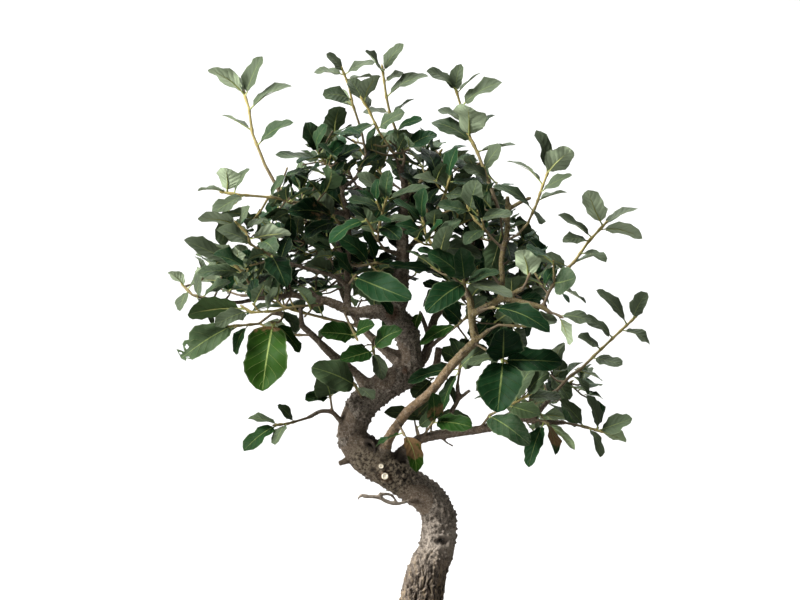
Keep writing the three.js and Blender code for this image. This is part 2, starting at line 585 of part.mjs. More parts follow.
function potSolid() {
  const bandFoot = POT_HEIGHT - POT_RIM_BAND;
  const body = solid(loft([
    potRing(POT_TAPER, POT_FOOT_HEIGHT),
    potRing(POT_TAPER - 3, POT_FOOT_HEIGHT + 7),
    potRing(5, bandFoot - 2),
    potRing(1, bandFoot),
    potRing(0, bandFoot + 2),
    potRing(0, POT_HEIGHT - 1.5),
    potRing(1.5, POT_HEIGHT),
  ]));
  const inside = solid(loft([
    potRing(wallInset(POT_FLOOR_TOP), POT_FLOOR_TOP),
    potRing(wallInset(POT_HEIGHT + 4), POT_HEIGHT + 4),
  ]));
  const drains = drainPlaces.map((x) => {
    const drain = new THREE.CylinderGeometry(DRAIN_RADIUS, DRAIN_RADIUS, POT_HEIGHT / 2, 12);
    return solid(drain.rotateX(Math.PI / 2).translate(x, 0, POT_FLOOR_TOP / 2));
  });
  const feet = [[-1, -1], [1, -1], [1, 1], [-1, 1]].map(([sx, sy]) => {
    const [length, depth] = FOOT_SIZE;
    const foot = loft([
      oblong(length / 2 - 2, depth / 2 - 2, FOOT_CORNER - 2, 0, 1),
      oblong(length / 2, depth / 2, FOOT_CORNER, POT_FOOT_HEIGHT + 2, 1),
    ]);
    const x = sx * (POT_LENGTH / 2 - FOOT_INSET[0]);
    const y = sy * (POT_DEPTH / 2 - FOOT_INSET[1]);
    return solid(foot.translate(x, y, 0));
  });
  return join([body, ...feet]).subtract(join([inside, ...drains]));
}

// A square plate with rows of square holes
function screenSolid(x) {
  const block = (side, thickness, cx, cy) => {
    const centre = POT_FLOOR_TOP + SEAT_GAP + SCREEN_THICKNESS / 2;
    return solid(new THREE.BoxGeometry(side, side, thickness).translate(x + cx, cy, centre));
  };
  const pitch = SCREEN_SIDE / (SCREEN_HOLES + 0.5);
  const places = Array.from({ length: SCREEN_HOLES }, (_, i) => (i - (SCREEN_HOLES - 1) / 2) * pitch);
  const holes = places.flatMap((cx) => places.map((cy) => block(SCREEN_HOLE, 2 * SCREEN_THICKNESS, cx, cy)));
  return block(SCREEN_SIDE, SCREEN_THICKNESS, 0, 0).subtract(join(holes));
}

// The soil's surface falls from the trunk to the wall, with low uneven ground
function soilSolid(buried) {
  const draw = draws(5);
  const bottom = POT_FLOOR_TOP + SEAT_GAP;
  const fit = (height) => potRing(wallInset(height) + SEAT_GAP * 1.4, height);
  const edge = fit(SOIL_EDGE_TOP);
  const rings = [fit(bottom), edge];
  for (const share of [0.8, 0.52, 0.24]) {
    const rise = mix(SOIL_CROWN_TOP, SOIL_EDGE_TOP, share ** 2);
    rings.push(edge.map((corner) => {
      const height = rise + (draw() - 0.5) * 2 * SOIL_ROUGHNESS;
      return new THREE.Vector3(corner.x * share, corner.y * share, height);
    }));
  }
  const ground = solid(loft(rings, new THREE.Vector3(0, 0, SOIL_CROWN_TOP)));
  const recesses = drainPlaces.map((x) => {
    const side = SCREEN_SIDE + 2 * SEAT_GAP;
    const room = SCREEN_THICKNESS + 2 * SEAT_GAP;
    return solid(new THREE.BoxGeometry(side, side, 2 * room).translate(x, 0, bottom));
  });
  return mainBody(ground.subtract(join([buried, ...recesses])));
}

// Rings of a tapered round limb along a smooth curve. "shape" scales each ring's points, and "grow"
// thickens it all over.
function limbRings({ points, sides, steps, shape = () => 1, grow = 0 }) {
  const curve = new THREE.CatmullRomCurve3(points.map(place));
  const rings = [];
  let out = new THREE.Vector3(1, 0.2, 0.1);
  for (let i = 0; i <= steps; i++) {
    const along = (i / steps) * (points.length - 1);
    const from = Math.min(Math.floor(along), points.length - 2);
    const radius = mix(points[from][3], points[from + 1][3], along - from);
    const centre = curve.getPoint(i / steps);
    const forward = curve.getTangent(i / steps);
    out = squareTo(forward, out);
    const across = forward.clone().cross(out);
    const ring = [];
    for (let j = 0; j < sides; j++) {
      const angle = (j / sides) * 2 * Math.PI;
      const reach = radius * shape(angle, i, centre.z) + grow;
      ring.push(centre.clone()
        .addScaledVector(out, reach * Math.cos(angle))
        .addScaledVector(across, reach * Math.sin(angle)));
    }
    rings.push(ring);
  }
  return rings;
}

// Corky bark stands in uneven plates between furrows, and the foot spreads into the roots
function barkShape(seed) {
  const draw = draws(seed);
  const plates = Array.from({ length: 400 }, () => draw() - 0.5);
  return (angle, ring, height) => {
    const side = Math.round((angle / (2 * Math.PI)) * TRUNK_SIDES);
    const plate = plates[(Math.floor(ring / 2) * 5 + side * 7) % plates.length];
    const furrow = Math.cos(5 * angle + 0.5 * ring) * 0.5 + plate * 1.5;
    const flare = Math.max(0, 1 - (height - SOIL_EDGE_TOP) / (FLARE_HEIGHT - SOIL_EDGE_TOP));
    return 1 + BARK_RELIEF * furrow + FLARE_SHARE * flare ** 2 * (0.6 + 0.4 * Math.cos(ROOT_COUNT * angle));
  };
}

// Trunk and roots: grown thicker all over, they cut the hole that the soil leaves for them
function trunkCore(grow = 0) {
  const steps = Math.round((TRUNK.length - 1) * 1.4);
  const core = solid(loft(limbRings({ points: TRUNK, sides: TRUNK_SIDES, steps, shape: barkShape(3), grow })));
  const roots = Array.from({ length: ROOT_COUNT }, (_, i) => {
    const angle = ((i + 0.15 * Math.sin(4 * i)) / ROOT_COUNT) * 2 * Math.PI;
    const reach = ROOT_REACH * (1 + 0.2 * Math.cos(3 * i + 1));
    const at = (share, height, radius) => [
      3 + reach * share * Math.cos(angle),
      reach * share * Math.sin(angle),
      height,
      radius,
    ];
    const points = [at(0.1, 80, 9), at(0.45, 66, 6.5), at(0.75, 59.5, 4.4), at(1, 53, 2.4)];
    return solid(loft(limbRings({ points, sides: 5, steps: 4, grow })));
  });
  return join([core, ...roots]);
}

function limbSolid(points) {
  const sides = points[0][3] > 3.2 ? 5 : 4;
  const steps = points.length - 1;
  return solid(loft(limbRings({ points, sides, steps })));
}

// A shoot's straight pieces, with the length run at each of its points
function measure(path) {
  const points = path.map(place);
  const runs = [0];
  for (let i = 1; i < points.length; i++) runs.push(runs[i - 1] + points[i].distanceTo(points[i - 1]));
  return { points, runs, length: runs[runs.length - 1] };
}

// The point on a shoot after a length, and the direction of the piece that it lies on
function pointAt({ points, runs }, run) {
  let i = 1;
  while (i < points.length - 1 && runs[i] < run) i++;
  const share = (run - runs[i - 1]) / (runs[i] - runs[i - 1]);
  return {
    point: points[i - 1].clone().lerp(points[i], share),
    forward: points[i].clone().sub(points[i - 1]).normalize(),
  };
}

// A twig along a shoot, from one length run to another
function twigSolid(line, from, to, radiusFrom, radiusTo) {
  const runs = [from, ...line.runs.filter((run) => run > from + 1.5 && run < to - 1.5), to];
  let out = new THREE.Vector3(0.3, -0.2, 1);
  const rings = runs.map((run, i) => {
    const { point, forward } = pointAt(line, run);
    const ahead = pointAt(line, Math.min(run + 0.5, to)).forward;
    const bisector = i && i < runs.length - 1 ? forward.clone().add(ahead).normalize() : forward;
    out = squareTo(bisector, out);
    const across = bisector.clone().cross(out);
    const radius = mix(radiusFrom, radiusTo, run / line.length);
    return Array.from({ length: TWIG_SIDES }, (_, j) => {
      const angle = (j / TWIG_SIDES) * 2 * Math.PI;
      return point.clone()
        .addScaledVector(out, radius * Math.cos(angle))
        .addScaledVector(across, radius * Math.sin(angle));
    });
  });
  return solid(loft(rings));
}

// A blade's upper side, turned from the front about the leaf's own length
function facing(direction, degrees) {
  const turn = THREE.MathUtils.degToRad(degrees);
  const front = squareTo(direction, new THREE.Vector3(0.03, -1, 0.05));
  const above = direction.clone().cross(front);
  if (above.z < 0) above.negate();
  return front.multiplyScalar(Math.cos(turn)).addScaledVector(above, Math.sin(turn));
}

// How each blade bends: its arch, its fold along the midrib and the waves of its edge
function bend(seed) {
  const draw = draws(seed);
  return {
    arch: mix(0.03, 0.1, draw()),
    fold: mix(0.1, 0.3, draw()),
    wave: mix(0.06, 0.2, draw()),
    phase: draw() * 2 * Math.PI,
  };
}

// A leaf from its foot on the twig to its tip
function leafOf(foot, tip, upper, width, seed) {
  const direction = tip.clone().sub(foot);
  const length = direction.length();
  direction.normalize();
  const side = direction.clone().cross(upper);
  return { foot, tip, direction, length, upper, side, width, ...bend(seed) };
}

// A point of a leaf's middle surface: along it from 0 at its foot to 1 at its tip, and out from the
// midrib by a share of half its width
function leafPoint(leaf, along, out) {
  const half = leaf.width / 2;
  const arch = leaf.length * leaf.arch * 4 * along * (1 - along);
  const sway = leaf.wave * Math.sin(leaf.phase + 11 * along + 1.5 * Math.sign(out));
  return leaf.foot.clone()
    .addScaledVector(leaf.direction, leaf.length * along)
    .addScaledVector(leaf.side, half * out)
    .addScaledVector(leaf.upper, arch + half * Math.abs(out) * (leaf.fold + sway));
}

// Blade outlines, as [share of the blade's length, share of its half width]: teeth and notches by turns
const LONG_OUTLINE = [[0.14, 0.76], [0.36, 1], [0.54, 0.82], [0.74, 0.68]];
const MIDDLE_OUTLINE = [[0.2, 0.86], [0.46, 1], [0.72, 0.64]];
const SHORT_OUTLINE = [[0.28, 0.95], [0.64, 0.8]];

function outlineFor(length) {
  if (length > LONG_LEAF) return LONG_OUTLINE;
  return length > SHORT_LEAF ? MIDDLE_OUTLINE : SHORT_OUTLINE;
}

function leafSolid(leaf) {
  const section = (along, reach, depth) => {
    const middle = leafPoint(leaf, along, 0);
    return [
      leafPoint(leaf, along, reach),
      middle.clone().addScaledVector(leaf.upper, -depth),
      leafPoint(leaf, along, -reach),
      middle.clone().addScaledVector(leaf.upper, depth),
    ];
  };
  const petiole = PETIOLE_RADIUS / (leaf.width / 2);
  const rings = [section(0, petiole, PETIOLE_RADIUS), section(PETIOLE_SHARE, petiole, PETIOLE_RADIUS)];
  for (const [share, reach] of outlineFor(leaf.length)) {
    const along = mix(PETIOLE_SHARE, 1, share);
    rings.push(section(along, reach, BLADE_THICKNESS / 2));
  }
  return solid(loft(rings, leaf.tip));
}

// Points spread over a blade, and along its petiole, for keeping leaves clear of one another
function leafSamples(leaf) {
  const rows = Math.ceil(leaf.length / 3.6);
  const samples = [];
  for (let i = 1; i <= rows; i++) {
    const along = i / rows;
    if (along < PETIOLE_SHARE + 0.04) samples.push(leafPoint(leaf, along, 0));
    else for (const out of [-1, -0.5, 0, 0.5, 1]) samples.push(leafPoint(leaf, along, out * (1.15 - along ** 3)));
  }
  return samples;
}

// The leaves that follow by rule: round the shoot by the golden angle, out and up from it
function ruledLeaf({ line, more }, index, seed) {
  const draw = draws(seed);
  const run = mix(FOOT_START, line.length - 2, (index + 0.5) / more);
  const { point, forward } = pointAt(line, run);
  const out = squareTo(forward, new THREE.Vector3(0.2, 1, 0.1));
  const across = forward.clone().cross(out);
  const angle = index * GOLDEN_ANGLE + draw() * 2;
  const radial = out.multiplyScalar(Math.cos(angle)).addScaledVector(across, Math.sin(angle));
  const lean = mix(0.3, 0.9, draw());
  const direction = radial.addScaledVector(forward, lean).add(new THREE.Vector3(0, 0, 0.25)).normalize();
  const length = mix(24, 38, draw());
  const width = length * mix(0.46, 0.6, draw());
  const upper = squareTo(direction, forward.clone().multiplyScalar(0.6).add(new THREE.Vector3(0, -0.1, 1)));
  const tip = point.clone().addScaledVector(direction, length);
  return leafOf(point, tip, upper, width, seed);
}

function handLeaf({ line }, [along, across, depth, height, width, degrees], swing, seed) {
  const { point } = pointAt(line, mix(FOOT_START, line.length - 1.2, along));
  const tip = place([across, depth + swing, height]);
  const direction = tip.clone().sub(point).normalize();
  return leafOf(point, tip, facing(direction, degrees), width, seed);
}

// Wood and twigs as lists of points with radii, for keeping leaves clear of them
function woodSamples(points, owner) {
  const samples = [];
  for (let i = 1; i < points.length; i++) {
    const [a, b] = [points[i - 1], points[i]];
    const steps = Math.ceil(a.point.distanceTo(b.point) / 3);
    for (let j = 0; j < steps; j++) {
      const share = j / steps;
      samples.push({ point: a.point.clone().lerp(b.point, share), radius: mix(a.radius, b.radius, share), owner });
    }
  }
  return samples;
}

const limbSamples = [TRUNK, ...Object.values(LIMBS)].flatMap((points) =>
  woodSamples(points.map((point) => ({ point: place(point), radius: point[3] })), "trunk"),
);

// The length run at which a shoot stands clear of the wood that it grows from
function seatRun(line, thick) {
  const reach = thick * COLLAR + 0.8;
  let run = 3;
  const isInWood = ({ point, radius }) => pointAt(line, run).point.distanceTo(point) < radius + reach;
  while (run < line.length / 2 && limbSamples.some(isInWood)) run += 0.5;
  return run;
}

// Each shoot's measured path, where its twig leaves the wood, and its thickness
const shoots = Object.entries(SHOOTS).map(([name, { path, leaves, more }]) => {
  const line = measure(path);
  const thick = Math.min(Math.max(1.25, line.length / 55), 1.9);
  return { name, line, leaves, more, thick, thin: 1.15, seat: seatRun(line, thick) };
});

const twigSamples = shoots.flatMap(({ name, line, thick, thin }) =>
  woodSamples(line.points.map((point, i) => ({ point, radius: mix(thick, thin, line.runs[i] / line.length) })), name),
);
const wood = [...limbSamples, ...twigSamples];

// True where a leaf's points keep their distance from the wood and from the leaves placed before it
function isClear(samples, owner, placed) {
  const free = samples.every((sample, i) =>
    wood.every((branch) => {
      if (branch.owner === owner || (branch.owner === "trunk" && i < 3)) return true;
      return sample.distanceTo(branch.point) > branch.radius + WOOD_CLEARANCE;
    }),
  );
  if (!free) return false;
  return placed.every((other) => {
    const limit = other.owner === owner ? LEAF_CLEARANCE * 0.6 : LEAF_CLEARANCE;
    return samples.every((sample, i) =>
      other.samples.every((point, k) => (other.owner === owner && (i < 3 || k < 3)) || sample.distanceTo(point) > limit),
    );
  });
}

// Every shoot's leaves, the widest first. A leaf that would meet a neighbour swings forward or back until
// it is clear, and one that finds no room is left out.
function placeLeaves() {
  const placed = [];
  const leafLists = new Map(shoots.map(({ name }) => [name, []]));
  const tryLeaf = (shoot, candidates) => {
    for (const leaf of candidates) {
      const samples = leafSamples(leaf);
      if (!isClear(samples, shoot.name, placed)) continue;
      placed.push({ owner: shoot.name, samples });
      leafLists.get(shoot.name).push(leaf);
      return;
    }
  };
  const entries = shoots.flatMap((shoot, number) =>
    shoot.leaves.map((entry, i) => ({ shoot, entry, width: entry[4], seed: 100 * (number + 1) + i })),
  );
  for (const { shoot, entry, seed } of entries.sort((a, b) => b.width - a.width)) {
    tryLeaf(shoot, DEPTH_SWINGS.map((swing) => handLeaf(shoot, entry, swing, seed)));
  }
  shoots.forEach((shoot, number) => {
    for (let i = 0; i < shoot.more; i++) {
      const seed = 100 * (number + 1) + 50 + i;
      tryLeaf(shoot, [0, 1, 2, 3].map((turn) => ruledLeaf(shoot, i, seed + 7000 * turn)));
    }
  });
  return leafLists;
}

const leafLists = placeLeaves();

function trunkSolid() {
  const limbs = Object.values(LIMBS).map(limbSolid);
  const collars = shoots.map(({ line, seat, thick }) => twigSolid(line, 0, seat, thick * COLLAR, thick * COLLAR));
  return mainBody(join([trunkCore(), ...limbs, ...collars])).simplify(TRUNK_TOLERANCE);
}

function spraySolid({ name, line, seat, thick, thin }) {
  const twig = twigSolid(line, seat + SEAT_GAP, line.length, thick, thin);
  return mainBody(join([twig, ...leafLists.get(name).map(leafSolid)]));
}

const bonsai = new THREE.Group();
bonsai.name = "cork_oak_bonsai";

const holder = new THREE.Group();
holder.add(mesh("pot", potSolid(), COLOURS.clay, 0.8));
holder.add(mesh("soil", soilSolid(trunkCore(SEAT_GAP * 1.3)), COLOURS.soil, 0.95));
holder.add(mesh("drain_screen_left", screenSolid(drainPlaces[0]), COLOURS.mesh, 0.6));
holder.add(mesh("drain_screen_right", screenSolid(drainPlaces[1]), COLOURS.mesh, 0.6));

const tree = new THREE.Group();
tree.add(mesh("trunk", trunkSolid(), COLOURS.bark, 0.9));
shoots.forEach((shoot) => tree.add(mesh("spray_" + shoot.name, spraySolid(shoot), COLOURS.leaf, 0.45)));

bonsai.add(holder, tree);

export default bonsai;
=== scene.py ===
"""A cork oak bonsai in its pot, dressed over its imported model.

The solids give the frame. Bark, leaves, twigs, soil, moss and clay are made here at full detail,
from the same points as the solids, in millimetres that are turned to metres as each mesh is made.
"""

from __future__ import annotations

import logging
import math
from collections.abc import Callable, Iterable, Iterator, Sequence
from contextlib import contextmanager
from dataclasses import dataclass, field
from enum import Enum

import bmesh
import bpy
import numpy as np
from mathutils import Matrix, Vector, kdtree, noise


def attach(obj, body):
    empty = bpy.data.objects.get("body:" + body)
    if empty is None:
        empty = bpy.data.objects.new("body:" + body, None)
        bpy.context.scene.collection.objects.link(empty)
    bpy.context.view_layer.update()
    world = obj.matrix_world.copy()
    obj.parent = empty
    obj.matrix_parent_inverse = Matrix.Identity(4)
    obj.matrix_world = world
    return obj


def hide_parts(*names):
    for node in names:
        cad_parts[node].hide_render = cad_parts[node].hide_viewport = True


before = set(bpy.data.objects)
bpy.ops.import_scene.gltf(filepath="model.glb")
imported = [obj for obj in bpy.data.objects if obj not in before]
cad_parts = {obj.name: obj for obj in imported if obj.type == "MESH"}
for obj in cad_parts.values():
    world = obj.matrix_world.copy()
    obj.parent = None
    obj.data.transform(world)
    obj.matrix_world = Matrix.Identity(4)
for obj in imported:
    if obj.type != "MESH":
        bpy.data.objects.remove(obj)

LOG = logging.getLogger("bonsai")

Point = tuple[float, ...]
Wood = tuple[Point, ...]
Colour = tuple[float, float, float]

MM = 0.001
BODY = "root"

# Without a seed, the vector noise starts from the clock and the bark differs in each run
NOISE_SEED = 1


@dataclass(frozen=True)
class ShootPlan:
    """A leafy shoot in front view: each point is (across, depth, height).

    A leaf is (place along the shoot, its tip's across, depth and height, its width, and how far its
    upper face turns from the front, in degrees). "more" leaves follow by rule.
    """

    name: str
    more: int
    path: Wood
    leaves: Wood


# The wood, one limb a line: each point is (across, depth, height, radius)
TRUNK: Wood = (
    (2, 2, 44, 19), (3, 2, 62, 18.5), (6, 1, 84, 17.4), (9, 0, 102, 17), (14, 0, 126, 15.6),
    (21, 0, 142, 14.4), (23, 0, 158, 14.2), (23, 0, 168, 13.8), (16.5, 0, 181.5, 13.2),
    (1, 0, 193.5, 13.4), (-16, 0, 205, 14), (-35, 1, 218, 15), (-46, 3, 233, 12), (-44, 3, 246, 12),
    (-37, 2, 259, 12.4), (-22, 1, 272, 12), (-3, 0, 284, 11.2), (0, 0, 302, 9.4), (-4, 0, 318, 9.6),
    (-12, 0, 330, 9.6), (-9, 2, 346, 7.4), (-6, 4, 374, 5.6), (-6, 6, 406, 4.2), (-4, 6, 433, 3.2),
    (-9, 4, 450, 2.5),
)
LIMBS: tuple[Wood, ...] = (
    ((-24, -2, 212, 6), (-17, -12, 231, 4.7), (-10, -18, 242, 4.3), (-2, -24, 253, 4.1), (16, -34, 268, 4),
     (32, -40, 288, 4), (47, -42, 304, 3.9), (52, -42, 309, 3.8), (50, -40, 322, 3.5), (49, -38, 335, 3.3),
     (47, -36, 345, 3.1), (40, -34, 355, 2.8)),
    ((50, -42, 307, 2.6), (56, -45, 312, 2.2), (63, -50, 318, 2)),
    ((49, -38, 330, 3.2), (56, -44, 334, 3), (66, -48, 339, 2.9), (74, -52, 343, 2.8), (90, -56, 340, 2.5),
     (106, -60, 336, 2.2), (112, -62, 332, 2)),
    ((74, -52, 343, 2.5), (82, -55, 347, 2.3), (90, -58, 351, 2.1)),
    ((72, -51, 342, 2.6), (74, -48, 358, 2.5), (73, -46, 373, 2.4), (76, -42, 388, 2.4),
     (78, -40, 398, 2.3), (78, -38, 412, 2.2), (78, -36, 425, 2)),
    ((78, -38, 414, 2), (88, -39, 420, 1.8), (97, -40, 424, 1.6)),
    ((2, 2, 288, 6), (12, 10, 297, 4.4), (16, 16, 312, 4), (20, 24, 328, 3.6), (34, 36, 344, 3.1),
     (44, 48, 362, 2.6), (50, 58, 384, 2.2)),
    ((16, 15, 310, 2.6), (12, 14, 322, 2.2), (8, 14, 332, 2)),
    ((12, 8, 298, 2.4), (18, -2, 306, 2), (28, -8, 314, 1.8)),
    ((-14, 0, 210, 6.5), (-2, -6, 224, 4.8), (9, -8, 231, 4.3), (24, -12, 234, 3.9), (40, -15, 236, 3.6),
     (55, -18, 238, 3.4), (72, -22, 241, 3.1), (90, -26, 247, 2.8), (99, -28, 245, 2.6),
     (111, -30, 244, 2.4), (123, -32, 244, 2.2)),
    ((30, -13, 235, 2.8), (33, -16, 252, 2.3), (38, -18, 262, 2.1), (38, -20, 274, 1.9)),
    ((38, -18, 262, 1.9), (43, -19, 266, 1.7), (48, -20, 270, 1.6)),
    ((97, -28, 245, 2.6), (106, -31, 256, 2.2), (116, -34, 268, 2)),
    ((-12, 0, 330, 8), (-30, -3, 333, 5.8), (-44, -4, 332, 4.8), (-54, -6, 336, 4.3), (-66, -8, 341, 3.9),
     (-82, -10, 344, 3.1), (-95, -12, 346, 2.6), (-109, -14, 344, 2.3), (-122, -14, 343, 2),
     (-138, -16, 340, 1.8), (-154, -16, 342, 1.6)),
    ((-50, -4, 334, 3.6), (-50, -1, 344, 3.2), (-50, 0, 354, 3), (-50, 2, 369, 2.8), (-49, 4, 388, 2.6),
     (-50, 6, 412, 2.4), (-54, 8, 430, 2.1), (-43, 8, 440, 1.9), (-35, 8, 458, 1.7)),
    ((-50, 2, 368, 2.4), (-54, 0, 377, 2.3), (-59, -2, 387, 2)),
    ((-50, 6, 410, 2.6), (-62, 4, 413, 2.4), (-74, 2, 416, 2.2), (-91, -2, 418, 2)),
    ((-50, -1, 352, 2.4), (-57, -8, 359, 2.1), (-67, -12, 363, 2), (-79, -15, 366, 1.9),
     (-92, -18, 370, 1.8), (-102, -20, 373, 1.7)),
    ((-28, 0, 268, 6), (-38, 0, 279, 3.9), (-54, -2, 291, 3.5), (-65, -4, 300, 3.2), (-75, -6, 311, 3),
     (-91, -10, 325, 2.7), (-100, -12, 330, 2.6), (-109, -14, 332, 2.4)),
    ((-86, -9, 321, 2.2), (-87, -11, 329, 2), (-88, -12, 337, 1.8)),
    ((-46, 0, 240, 4), (-56, -4, 246, 2.5), (-62, -6, 252, 2.1), (-71, -8, 253, 1.9), (-81, -10, 248, 1.8)),
    ((6, -10, 182, 2.4), (-2, -15, 181, 1.7), (-10, -19, 179, 1.5), (-17, -21, 180, 1.4),
     (-25, -22, 184, 1.3), (-37, -24, 185, 1.1)),
    ((-10, -19, 179, 1.3), (-15, -21, 186, 1.2), (-25, -23, 187, 1)),
    ((12, -2, 282, 4), (20, -5, 288, 3.4), (23, -6, 304, 3)),
    ((-44, -2, 216, 3.4), (-52, -4, 213, 2.7), (-57, -5, 211, 2.4)),
    ((-38, -8, 228, 2.6), (-31, -15, 229, 1.9), (-28, -18, 224, 1.7), (-28, -18, 219, 1.4)),
    ((-20, -4, 280, 3.8), (-24, -12, 284, 3.4), (-27, -15, 285, 3.2)),
    ((-18, -6, 203, 3.4), (-20, -16, 201, 2.8), (-20, -17.5, 201, 2.7)),
    ((-22, -6, 210, 2.6), (-23, -15, 209, 2), (-23, -16.5, 209, 1.9)),
    ((-8, 0, 357, 3.6), (-10, -8, 358, 3.4), (-10, -9.5, 358, 3.2)),
    ((-7, -4, 298, 3), (-16, -10, 302, 2.3), (-22, -14, 305, 2.1), (-28, -15, 313, 2)),
    ((-6, 4, 378, 3), (-13, -3, 380, 2.1), (-20, -10, 382, 1.8)),
    ((-6, 6, 404, 2.8), (1, 0, 401, 2), (8, -4, 400, 1.8)),
    ((-4, 2, 288, 6), (-18, 26, 300, 4.2), (-38, 46, 320, 3.3), (-52, 58, 342, 2.7), (-58, 66, 362, 2.2)),
    ((-6, 4, 376, 3.4), (0, 26, 384, 2.7), (10, 44, 398, 2.3), (14, 54, 414, 2)),
    ((-32, 4, 264, 6), (-42, 24, 282, 3.8), (-58, 40, 296, 3), (-78, 50, 314, 2.4)),
    ((-8, 4, 204, 7), (0, 24, 226, 4.2), (26, 40, 236, 3.3), (58, 48, 240, 2.7), (82, 52, 252, 2.2)),
    ((-6, 6, 398, 3), (-22, 24, 414, 2.3), (-42, 36, 432, 2)),
)
